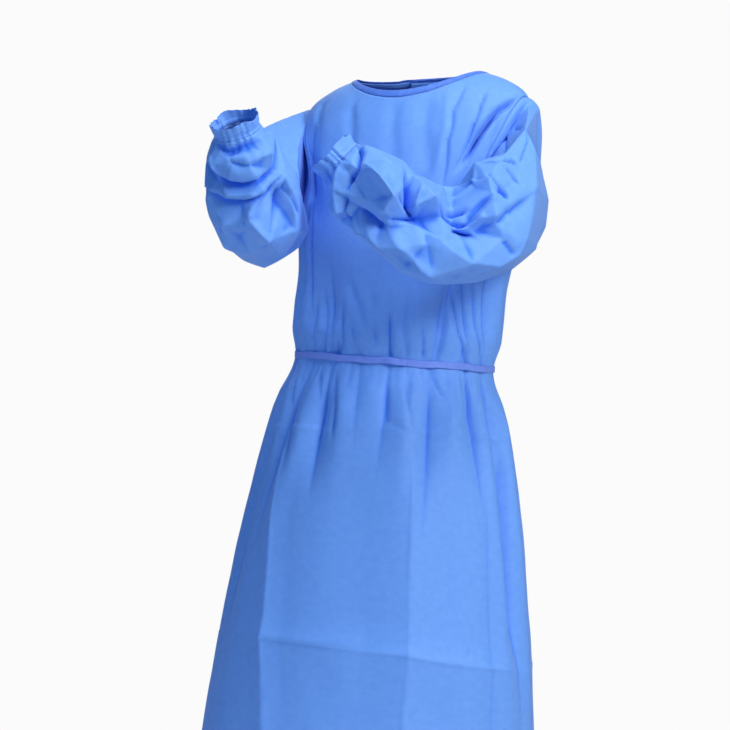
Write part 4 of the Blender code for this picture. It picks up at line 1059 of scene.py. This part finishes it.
def add_puckers(cloth, start, end, seed):
    """Small gathers above and below the belt, unevenly spaced between two angles."""
    rng = np.random.default_rng(seed)
    angle = start + rng.uniform(0, PUCKER_SPACING)
    while angle < end:
        for way in (-1, 1):
            first = STATIONS["belt"] + way * BELT_WIDTH * PUCKER_START
            last = first + way * rng.uniform(*PUCKER_LENGTHS)
            path = ((first, angle), (last, angle + rng.uniform(-PUCKER_LEAN, PUCKER_LEAN)))
            widths = rng.uniform(*PUCKER_WIDTHS, size=2)
            cloth.crease(path, rng.uniform(*PUCKER_DEPTHS), *widths, PUCKER_POWER)
        angle += PUCKER_SPACING * rng.uniform(*PUCKER_STRAY)


def finish_panel(cloth, seams):
    """Crumples a panel, calms it at the belt and at the neck, and sinks it at its seams and its hem fold."""
    before = cloth.depth.copy()
    cloth.wave(BODY_WAVE_SIZE)
    from_belt = np.abs(cloth.points[..., 2] - BELT_HEIGHT) - BELT_WIDTH * BELT_CALM_START
    calm = smoothstep(from_belt / BELT_CALM) * smoothstep((cloth.along - BINDING_WIDTH) / NECK_CALM)
    cloth.depth = before + (cloth.depth - before) * calm
    reach = reach_along(cloth.points.transpose(1, 0, 2)).T
    from_seams = [reach if side == "start" else reach[:, -1:] - reach for side in seams]
    # Both sides of a seam follow the same line, so the folds run out before they reach it
    seam_depth = body_folds(cloth.turn, cloth.points)
    slack = smoothstep(np.minimum.reduce(from_seams) / SEAM_CALM)
    cloth.depth = seam_depth + (cloth.depth - seam_depth) * slack
    for away in from_seams:
        cloth.depth += SEAM_DIP * np.exp(-away / SEAM_DIP_WIDTH)
    from_hem = STATIONS["hem"] - cloth.along
    cloth.depth += HEM_DIP * np.exp(-(((from_hem - HEM_FOLD) / HEM_DIP_WIDTH) ** 2))


def hidden_folds(cloth, length, seed):
    """Folds like those that show, on the side of a sleeve that the photo doesn't show."""
    rng = np.random.default_rng(seed)
    shown, cloth.depth = cloth.depth, np.zeros_like(cloth.depth)
    for _ in range(HIDDEN_FOLDS):
        path = [(rng.uniform(*HIDDEN_FOLD_PLACES) * length, rng.uniform(0, 360))]
        for _ in range(2):
            along, turn = path[-1]
            path.append((along + rng.normal(0, HIDDEN_FOLD_DRIFT), turn + rng.uniform(*HIDDEN_FOLD_TURNS)))
        depth = rng.uniform(*HIDDEN_FOLD_DEPTHS)
        cloth.crease(path, depth, *rng.uniform(*HIDDEN_FOLD_WIDTHS, size=2), HIDDEN_FOLD_POWER)
    cloth.depth = shown + cloth.depth * smoothstep(-cloth.facing / HIDDEN_FACING)


def wander(turn, seed, waves):
    """An uneven shift round a ring, so that no two pleats are alike."""
    return sum(height * np.sin(turn * count + shift * seed) for count, shift, height in waves)


def sleeve_cloth(side, table, slack, creases, facets, seed):
    """One sleeve, creased."""
    points, distance = plain_sleeve(side, table)
    length = distance[-1]
    turn = np.arange(SLEEVE_COLUMNS)[None, :] * 360.0 / SLEEVE_COLUMNS
    cloth = Cloth(points, ring_normals(points), distance[:, None], turn, closed_round=True)
    from_armhole, from_cuff = distance[:, None], length - distance[:, None]
    inside = smoothstep(from_armhole / ARMHOLE_CALM) * smoothstep(from_cuff / CUFF_CALM)
    cloth.wave(SLEEVE_WAVE_SIZE)
    push = slack_depth(slack, from_armhole / length, turn, length, cloth.radius)
    push *= smoothstep(from_armhole / SLACK_STARTS) * smoothstep(from_cuff / SLACK_ENDS)
    cloth.depth = cloth.depth * inside + push
    corners = []
    for along, around, out in cloth.scattered(seed):
        away = SEEN_FACING - cloth.facing[cloth.nearest(along, around)]
        if away > 0:
            corners.append((along, around, out * min(1.0, EDGE_FACET_SHARE + EDGE_FACET_RISE * away)))
    corners += [(*cloth.seen_at((x, y)), out * MM * FACET_RELIEF) for x, y, out in facets]
    seen = smoothstep((cloth.facing + HIDDEN_FACING) / (HIDDEN_FACING + SEEN_FACING))
    cloth.facet(corners, (FLATNESS_HIDDEN + (FLATNESS - FLATNESS_HIDDEN) * seen) * inside)
    cloth.crease_as_seen(creases, SLEEVE_CREASE_DEPTH, SLEEVE_CREASE_WIDTH)
    hidden_folds(cloth, length, seed)
    cloth.depth *= inside
    turn = np.radians(turn)
    shift = wander(turn, seed, SLEEVE_WANDER)
    pleats = (1 + np.cos(turn * GATHER_PLEATS + GATHER_SHIFT * shift)) / 2
    pleats = pleats * (GATHER_MEAN + GATHER_SWELL * np.sin(turn * GATHER_SWELLS + shift))
    cloth.depth += GATHER_DEPTH * pleats * np.exp(-from_cuff / GATHER_REACH)
    return cloth


def cuff_points(end, before, seed):
    """The elastic cuff and its ruffle, beyond the last ring of a sleeve and one ring before it."""
    columns = len(end)
    centre = end.mean(axis=0)
    spokes = end - centre
    along = unit(np.cross(spokes[0], spokes[columns // 4]))
    along = along * np.sign(np.dot(along, centre - before.mean(axis=0)))
    radius = np.linalg.norm(spokes, axis=-1)
    turn = np.radians(np.arange(columns) * 360.0 / columns)
    share = np.linspace(0, 1, CUFF_ROWS)[:, None]
    shift = wander(turn, seed, CUFF_WANDER)
    waves = np.cos(turn * RUFFLES + shift) + SMALL_RUFFLE * np.cos(turn * SMALL_RUFFLES + 2 * shift)
    opened = smoothstep((share - RUFFLE_START) / (1 - RUFFLE_START))
    ribs = RIB_DEPTH * np.cos(turn * GATHER_PLEATS + shift) * (1 - opened)
    reach = radius - CUFF_WAIST * np.sin(np.pi * np.clip(share / CUFF_WAIST_ENDS, 0, 1)) + ribs
    reach = reach + opened * (RUFFLE_FLARE + RUFFLE_WAVE * waves)
    forward = CUFF_GAP + share * CUFF_LENGTH + opened * RUFFLE_LEAN * np.sin(turn * RUFFLE_LEANS + seed)
    return centre + along * forward[..., None] + spokes / radius[:, None] * reach[..., None]


def strip(centre, across, normal, tilt=0.0, width=TAPE_WIDTH):
    """A tape along a line, tilted by so many radians: its points across are lifted by the tape's profile."""
    place = np.linspace(-0.5, 0.5, len(TAPE_PROFILE))[:, None, None] * width
    tilt = np.asarray(tilt)[..., None]
    flat = across * np.cos(tilt) + normal * np.sin(tilt)
    raised = normal * np.cos(tilt) - across * np.sin(tilt)
    return centre[None] + flat[None] * place + raised[None] * np.array(TAPE_PROFILE)[:, None, None] * MM


def belt_half(start, end, over, seed):
    """The points of one half of the belt, wavering a little, and twisted where the halves join."""
    angle = np.linspace(start, end, int(abs(end - start) * 2) + 1)
    down = np.full_like(angle, STATIONS["belt"])
    normal, turn = body_normals(angle, down), np.radians(angle)
    across = unit(body_base(angle, down + MM) - body_base(angle, down - MM))
    above = over * smoothstep((angle - BELT_JOIN_ANGLE + BELT_JOIN_RAMP) / BELT_JOIN_RISE)
    phases = np.random.default_rng(seed).uniform(0, 6.28, size=3)
    phases = (*phases, phases[0])
    broad, small, ripple, rock = (h * np.sin(turn * n + p) for (n, h), p in zip(BELT_WAVES, phases))
    lift = BELT_RAISE + lap_lift(angle) + BELT_JOIN_STEP * above + ripple
    centre = body_base(angle, down) + normal * lift[:, None] + across * (broad + small)[:, None]
    tilt = BELT_JOIN_TILT * np.exp(-(((angle - BELT_JOIN_ANGLE) / BELT_JOIN_TURN) ** 2)) * (1 if over else -1)
    return strip(centre, across, normal, tilt + rock)


def allowance(line, aside, normal):
    """The folded seam allowance behind a seam, as a strip of points along it."""
    place = np.linspace(-1, 1, ALLOWANCE_COLUMNS)[:, None] * ALLOWANCE_HALF_WIDTH
    return (line - normal * ALLOWANCE_BELOW)[:, None] + aside[:, None] * place


def side_seam(start, end, side):
    """Points, directions across and normals along the seam at one side of the body, between two stations."""
    down = np.arange(STATIONS[start] + BINDING_WIDTH * (start == "neck"), STATIONS[end], SEAM_STEP)
    base, normal, folds = body_at(np.full_like(down, SIDE_SEAM * side), down)
    line = base - normal * (folds + SEAM_DIP)[:, None]
    return line, unit(np.cross(normal, unit(np.gradient(line, axis=0)))), normal


def colour_of(name, description, default):
    """A colour that a user may change, as sRGB hex."""
    return bpy.props.StringProperty(name=name, description=description, default=default)


def length_of(name, description, default):
    """A length that a user may change, in metres."""
    return bpy.props.FloatProperty(
        name=name, description=description, default=default, subtype="DISTANCE", unit="LENGTH"
    )


def power_of(name, description, default):
    """A light's power that a user may change, in watts."""
    return bpy.props.FloatProperty(name=name, description=description, default=default, unit="POWER")


class GownLooks(bpy.types.PropertyGroup):
    """Colours of the gown's cloth, tapes and thread, as sRGB hex."""

    cloth_light: colour_of("Cloth, thick fibres", "Colour where the fibres lie thicker", "#74AAF8")
    cloth_dark: colour_of("Cloth, thin fibres", "Colour where the fibres lie thinner", "#6AA0F2")
    # Painted shade: the cloth's colour down in its folds, for the bluer light there
    cloth_painted_shade: colour_of("Cloth, in folds", "Deeper colour of the cloth down in its folds", "#3F7FF0")
    # Partly the binding's own colour and partly painted shade: darkened for the shadow along its lower edge
    binding_light: colour_of("Binding, light", "Lighter colour of the neck's binding", "#6090EC")
    binding_dark: colour_of("Binding, dark", "Darker colour of the neck's binding", "#4D7CDF")
    tape_light: colour_of("Tape, light", "Lighter colour of the belt", "#7F9DF3")
    tape_dark: colour_of("Tape, dark", "Darker colour of the belt", "#7191EC")
    thread_light: colour_of("Thread, light", "Lighter colour of the sewing thread", "#5A86D8")
    thread_dark: colour_of("Thread, dark", "Darker colour of the sewing thread", "#3E69C0")


class GownSizes(bpy.types.PropertyGroup):
    """Sizes of the gown's cloth."""

    cloth_thickness: length_of("Cloth thickness", "How thick each shell of cloth is", 0.5 * MM)
    tape_thickness: length_of("Tape thickness", "How thick the folded tapes are", 0.9 * MM)


class GownStage(bpy.types.PropertyGroup):
    """Floor and light round the gown."""

    floor_drop: length_of("Floor below the hem", "How far the floor lies below the hem", 0.30)
    key_power: power_of("Key light", "Power of the large soft light", 96.0)
    top_power: power_of("Top light", "Power of the light from above", 30.0)
    fill_power: power_of("Fill light", "Power of the weak light from the front", 21.0)
    back_power: power_of("Back light", "Power of the weak light behind the gown", 30.0)
    fill_colour: colour_of("Fill colour", "Colour of the weak light from the front", "#B2D6FF")
    surround: bpy.props.FloatProperty(
        name="Surround", description="Strength of the light that comes from all round", default=0.13, min=0.0
    )
    surround_colour: colour_of("Surround colour", "Colour of the light from all round", "#66B0FF")


class GOWN_OT_neck(bpy.types.Operator):
    """Make the bound edge of the neck and the tab that closes it"""

    bl_idname = "gown.neck"
    bl_label = "Neck binding and tab"

    def execute(self, context):
        share = np.linspace(0, 1, BINDING_COLUMNS)
        angle, share = np.meshgrid(np.linspace(-180 - BACK_LAP, 180 + BACK_LAP, BINDING_ROWS), share)
        down, turn = share * BINDING_WIDTH, np.radians(angle)
        rounded = BINDING_ROUND * np.sqrt(np.clip(1 - (2 * share - 1) ** 4, 0, 1))
        pucker = BINDING_PUCKER * np.sin(turn * BINDING_PUCKERS) * np.sin(turn * BINDING_SWELLS + 1.0)
        groove = -BINDING_GROOVE * np.exp(-(((share - GROOVE_PLACE) / GROOVE_WIDTH) ** 2))
        lift = lap_lift(np.minimum(angle, 0.0)) + rounded + pucker + groove
        points = smooth_body(angle, down, lift)
        made = add_cloth("neck_binding_tape", points, BINDING, ["neck_binding"])
        row = BINDING_STITCH_ROW
        line = smooth_body(angle[row], down[row], lift[row] + BINDING_STITCH_RAISE)
        add_stitches("neck_stitches", [line])
        self.make_tab()
        return {"FINISHED"}

    def make_tab(self):
        """The tab across the lap at the nape, with its sewn square."""
        half = math.degrees(TAB_LENGTH / (BODY_RINGS["neck"][0] + BODY_RINGS["yoke"][0]))
        middle, middle_down = -180 - BACK_LAP, BINDING_WIDTH + TAB_BELOW_BINDING + TAB_HALF_HEIGHT

        def tab_points(across, along, lift):
            """Points of the tab at shares of its half length and half height from its middle."""
            angle, down = middle + half * across, middle_down + TAB_HALF_HEIGHT * along
            over_lap = smoothstep((angle - middle + half) / (half - TAB_FLAT_END))
            return smooth_body(angle, down, BELT_CLEARANCE + LAP_STEP * over_lap + lift)

        across, along = np.meshgrid(np.linspace(-1, 1, TAB_COLUMNS), np.linspace(-1, 1, TAB_ROWS))
        corner = np.clip(np.abs(across) ** 8 + np.abs(along) ** 8, 0, 1)
        points = tab_points(across, along, TAB_RAISE - TAB_EDGE_DROP * corner)
        made = add_cloth("neck_tab_tape", points, BINDING, ["neck_tab"], thickness=1.0 * MM)
        lines = []
        for (a, d), (b, e) in zip(TAB_STITCH_SQUARE, TAB_STITCH_SQUARE[1:]):
            line = np.linspace(a, b, TAB_ROWS), np.linspace(d, e, TAB_ROWS)
            lines.append(tab_points(*line, TAB_RAISE + THREAD_RAISE))
        add_stitches("tab_stitches", lines, TAB_STITCH_LENGTH, TAB_STITCH_GAP)


class GOWN_OT_body(bpy.types.Operator):
    """Make the front and the two back panels"""

    bl_idname = "gown.body"
    bl_label = "Front and back panels"

    def execute(self, context):
        down = body_rows()
        front, back = panel_edge(down, ARMHOLE_FRONT_REACH), panel_edge(down, ARMHOLE_BACK_REACH)
        lap_end = np.full_like(down, 180.0 + BACK_LAP)
        edges = {"front": (-front, front), "back_left": (back, lap_end), "back_right": (-lap_end, -back)}
        for name, (columns, seams, span, sewn, size, area, seed) in PANELS.items():
            cloth = body_cloth(edges[name], columns)
            if name == "front":
                cloth.crease_as_seen(BODY_CREASES, BODY_CREASE_DEPTH)
            else:
                add_hidden_creases(cloth, span[0] - CREASE_MARGIN, span[1] + CREASE_MARGIN)
            if name == "back_right":
                cloth.depth -= lap_lift(cloth.turn)
            add_puckers(cloth, *span, seed)
            finish_panel(cloth, seams)
            made = add_cloth(f"{name}_cloth", cloth.creased(), CLOTH, [name])
            surface = cloth.creased() + cloth.normals * THREAD_RAISE
            hem_row = np.argmin(np.abs(down - STATIONS["hem"] + HEM_FOLD - HEM_STITCH_INSET))
            add_stitches(f"{name}_stitches", [surface[hem_row], *(surface[:, i] for i in sewn)])
        return {"FINISHED"}


class GOWN_OT_sleeves(bpy.types.Operator):
    """Make both sleeves and their elastic cuffs"""

    bl_idname = "gown.sleeves"
    bl_label = "Sleeves and cuffs"

    def execute(self, context):
        sleeves = {
            "left": (1, LEFT_SLEEVE, LEFT_SLACK, LEFT_SLEEVE_CREASES, LEFT_SLEEVE_FACETS, 11),
            "right": (-1, RIGHT_SLEEVE, RIGHT_SLACK, RIGHT_SLEEVE_CREASES, RIGHT_SLEEVE_FACETS, 23),
        }
        for name, sleeve in sleeves.items():
            cloth = sleeve_cloth(*sleeve)
            points = cloth.creased()
            made = add_cloth(f"sleeve_{name}_cloth", points, CLOTH, [f"sleeve_{name}"], True)
            sewn = (points + cloth.normals * THREAD_RAISE)[-CUFF_STITCH_ROW]
            add_stitches(f"cuff_{name}_stitches", [np.concatenate([sewn, sewn[:1]])])
            ruffle = cuff_points(points[-1], points[-CUFF_AIM_ROW], sleeve[-1])
            cuff = add_cloth(f"cuff_{name}_cloth", ruffle, CLOTH, [f"cuff_{name}"], True)
        return {"FINISHED"}


class GOWN_OT_seams(bpy.types.Operator):
    """Make the seam allowances behind the seams of the neck, shoulders, sides and armholes"""

    bl_idname = "gown.seams"
    bl_label = "Seams"

    def execute(self, context):
        round_neck = np.linspace(-180 - BACK_LAP, 180 + BACK_LAP, NECK_SEAM_ROWS)
        across = np.linspace(-1, 1, ALLOWANCE_COLUMNS) * ALLOWANCE_HALF_WIDTH
        angle, down = np.meshgrid(round_neck, BINDING_WIDTH + across)
        behind = smooth_body(angle, down, lap_lift(np.minimum(angle, 0.0)) - NECK_ALLOWANCE_BELOW)
        add_cloth("seam_neck", behind, CLOTH, [])
        for name, side in (("left", 1), ("right", -1)):
            round_armhole = allowance(*armhole_frame(side, ARMHOLE_SEAM_COLUMNS))
            strips = {
                "shoulder": allowance(*side_seam("neck", "shoulder", side)),
                "side": allowance(*side_seam("underarm", "hem", side)),
                "armhole": np.concatenate([round_armhole, round_armhole[:1]]),
            }
            for seam, points in strips.items():
                add_cloth(f"seam_{seam}_{name}", points, CLOTH, [])
        return {"FINISHED"}


class GOWN_OT_belt(bpy.types.Operator):
    """Make the belt, its knot and its two ends"""

    bl_idname = "gown.belt"
    bl_label = "Belt and knot"

    def execute(self, context):
        knot_half = math.degrees((KNOT_HALF_SIZE[0] - KNOT_OVERLAP) / BODY_RINGS["belt"][2])
        halves = {
            "belt_left": (BELT_JOIN_ANGLE, KNOT_ANGLE - knot_half, 0.0, 5),
            "belt_right": (-KNOT_ANGLE + knot_half, BELT_JOIN_ANGLE + BELT_JOIN_LAP, 1.0, 6),
        }
        for name, half in halves.items():
            points = belt_half(*half)
            made = add_cloth(f"{name}_tape", points, TAPE, [name])
            length = float(reach_along(points[len(points) // 2])[-1])
        self.make_knot()
        self.make_ends()
        return {"FINISHED"}

    def make_knot(self):
        """The knot: the tape wound round itself, drawn as three turns that cross."""
        centre, half = np.mean(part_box("belt_knot"), axis=0), np.array(KNOT_HALF_SIZE)
        ball = np.linspace(0, np.pi, KNOT_ROWS)[:, None]
        turn = np.arange(KNOT_COLUMNS) * 2 * np.pi / KNOT_COLUMNS
        ridge = 1 + KNOT_RIDGE * np.cos(3 * turn + 4 * ball)
        core = [np.sin(ball) * np.cos(turn) * ridge, np.sin(ball) * np.sin(turn) * ridge, np.cos(ball)]
        core = centre + np.stack(np.broadcast_arrays(*core), axis=-1) * half * KNOT_CORE
        add_cloth("belt_knot_tape", core[1:-1], TAPE, ["belt_knot"], True, KNOT_TAPE_THICKNESS)
        turn = np.linspace(0, 2 * np.pi, KNOT_TURN_COLUMNS)
        for number, (lean, size) in enumerate(KNOT_TURNS):
            line = [np.cos(turn) * math.cos(lean), np.sin(turn), np.cos(turn) * math.sin(lean)]
            line = np.stack(line, axis=-1) * half * size
            aside = np.broadcast_to((-math.sin(lean), 0.0, math.cos(lean)), line.shape)
            band = strip(centre + line, aside, unit(line), width=KNOT_TAPE_WIDTH)
            add_cloth(f"belt_knot_turn_{number}", band, TAPE, [], thickness=KNOT_TAPE_THICKNESS)

    def make_ends(self):
        """The two ends that hang from the knot, each with a slow curl."""
        share = np.linspace(0, 1, TAIL_COLUMNS)
        for name, (length, lean, waver_phase, curl_phase) in BELT_ENDS.items():
            down = STATIONS["belt"] + KNOT_HALF_SIZE[2] - KNOT_OVERLAP + length * share
            angle = KNOT_ANGLE + lean * (1 + TAIL_SPREAD * share)
            base, normal = body_base(angle, down), body_normals(angle, down)
            across = unit(np.cross(normal, unit(np.gradient(base, axis=0))))
            lift = TAIL_RAISE + TAIL_WAVER * np.sin(share * TAIL_WAVERS + waver_phase) * share
            tilt = TAIL_CURL * np.sin(share * TAIL_CURLS + curl_phase) * share
            points = strip(base + normal * lift[:, None], across, normal, tilt)
            made = add_cloth(f"belt_end_{name}_tape", points, TAPE, [f"belt_end_{name}"])


class GOWN_OT_stage(bpy.types.Operator):
    """Make the floor, the lights and the camera"""

    bl_idname = "gown.stage"
    bl_label = "Stage"

    def execute(self, context):
        stage = context.scene.gown_stage
        self.make_floor(CAD_BOX[0][2] - stage.floor_drop)
        self.make_lights(context.scene, stage)
        self.make_surround(context.scene, stage)
        self.make_camera(context.scene)
        context.scene.view_settings.view_transform = "Standard"
        return {"FINISHED"}

    def make_floor(self, height):
        """Matte paper under the gown, and the surround's own brightness further off, so no edge shows."""
        material = bpy.data.materials.new("matte paper floor")
        tree = clear_tree(material)
        where = node(tree, "ShaderNodeTexCoord").outputs["Object"]
        flat = node(tree, "ShaderNodeVectorMath", {"operation": "MULTIPLY"}, _0=where, _1=(1.0, 1.0, 0.0))
        length, soft = {"operation": "LENGTH"}, {"interpolation_type": "SMOOTHSTEP"}
        away = node(tree, "ShaderNodeVectorMath", length, _0=flat.outputs[0]).outputs["Value"]
        near, far = FLOOR_FADE
        fade = node(tree, "ShaderNodeMapRange", soft, Value=away, From_Min=near, From_Max=far)
        paper = node(tree, "ShaderNodeBsdfDiffuse", Color=linear("#F4F4F4"))
        glow = node(tree, "ShaderNodeEmission", Color=linear(SURROUND_SEEN), Strength=1.0)
        # The brightness of the surround is only seen, and lights nothing
        seen = node(tree, "ShaderNodeLightPath").outputs["Is Camera Ray"]
        seen = node(tree, "ShaderNodeMath", {"operation": "MULTIPLY"}, _0=fade.outputs[0], _1=seen)
        mix = node(tree, "ShaderNodeMixShader", _0=seen.outputs[0], _1=paper.outputs[0], _2=glow.outputs[0])
        node(tree, "ShaderNodeOutputMaterial", Surface=mix.outputs[0])
        square = ((-1, -1), (1, -1), (1, 1), (-1, 1))
        corners = [(x * FLOOR_REACH, y * FLOOR_REACH, height) for x, y in square]
        add_mesh("floor", corners, [(0, 1, 2, 3)], material)

    def make_lights(self, scene, stage):
        """A large soft key light, and weaker ones from above, from the other side and from behind."""
        for name, (place, size) in LIGHTS.items():
            data = bpy.data.lights.new(name, "AREA")
            data.size, data.energy = size, getattr(stage, f"{name}_power")
            if name == "fill":
                data.color = linear(stage.fill_colour)[:3]
            lamp = bpy.data.objects.new(name, data)
            lamp.location = place
            lamp.rotation_mode = "QUATERNION"
            lamp.rotation_quaternion = (Vector(LIGHTS_AIM) - Vector(place)).to_track_quat("-Z", "Y")
            scene.collection.objects.link(lamp)

    def make_surround(self, scene, stage):
        """The camera sees an even pale surround, and the cloth is lit by a dimmer one."""
        scene.world = bpy.data.worlds.new("pale surround")
        tree = clear_tree(scene.world)
        path = node(tree, "ShaderNodeLightPath").outputs["Is Camera Ray"]
        lit = node(tree, "ShaderNodeBackground", Color=linear(stage.surround_colour), Strength=stage.surround)
        seen = node(tree, "ShaderNodeBackground", Color=linear(SURROUND_SEEN), Strength=1.0)
        mix = node(tree, "ShaderNodeMixShader", _0=path, _1=lit.outputs[0], _2=seen.outputs[0])
        node(tree, "ShaderNodeOutputWorld", Surface=mix.outputs[0])

    def make_camera(self, scene):
        """The photo's camera."""
        data = bpy.data.cameras.new("camera")
        data.sensor_width = SENSOR_WIDTH
        data.lens = SENSOR_WIDTH / 2 * VIEW_DISTANCE / VIEW_HALF_WIDTH
        camera = bpy.data.objects.new("camera", data)
        back = Vector(view_back())
        turn = (-back).to_track_quat("-Z", "Y").to_matrix().to_4x4()
        turn = turn @ Matrix.Rotation(math.radians(VIEW_ROLL), 4, "Z")
        turn.translation = Vector(VIEW_TARGET) + back * VIEW_DISTANCE
        camera.matrix_world = turn
        scene.collection.objects.link(camera)
        scene.camera = camera


class GOWN_PT_panel(bpy.types.Panel):
    """The gown's pieces, in the order in which they are made"""

    bl_idname = "GOWN_PT_panel"
    bl_label = "Disposable gown"
    bl_space_type = "VIEW_3D"
    bl_region_type = "UI"
    bl_category = "Gown"

    def draw(self, context):
        for group in (context.scene.gown_looks, context.scene.gown_sizes, context.scene.gown_stage):
            box = self.layout.box()
            for name in group.__annotations__:
                box.prop(group, name)
        for operator in OPERATORS:
            self.layout.operator(operator.bl_idname)


GROUPS = {"gown_looks": GownLooks, "gown_sizes": GownSizes, "gown_stage": GownStage}
OPERATORS = (GOWN_OT_neck, GOWN_OT_body, GOWN_OT_sleeves, GOWN_OT_seams, GOWN_OT_belt, GOWN_OT_stage)
CLASSES = (*GROUPS.values(), *OPERATORS, GOWN_PT_panel)


def register():
    for made in CLASSES:
        bpy.utils.register_class(made)
    for name, group in GROUPS.items():
        setattr(bpy.types.Scene, name, bpy.props.PointerProperty(type=group))


def unregister():
    for name in GROUPS:
        delattr(bpy.types.Scene, name)
    for made in reversed(CLASSES):
        bpy.utils.unregister_class(made)


def main():
    register()
    for operator in OPERATORS:
        group, name = operator.bl_idname.split(".")
        getattr(getattr(bpy.ops, group), name)()


if __name__ == "__main__":
    main()
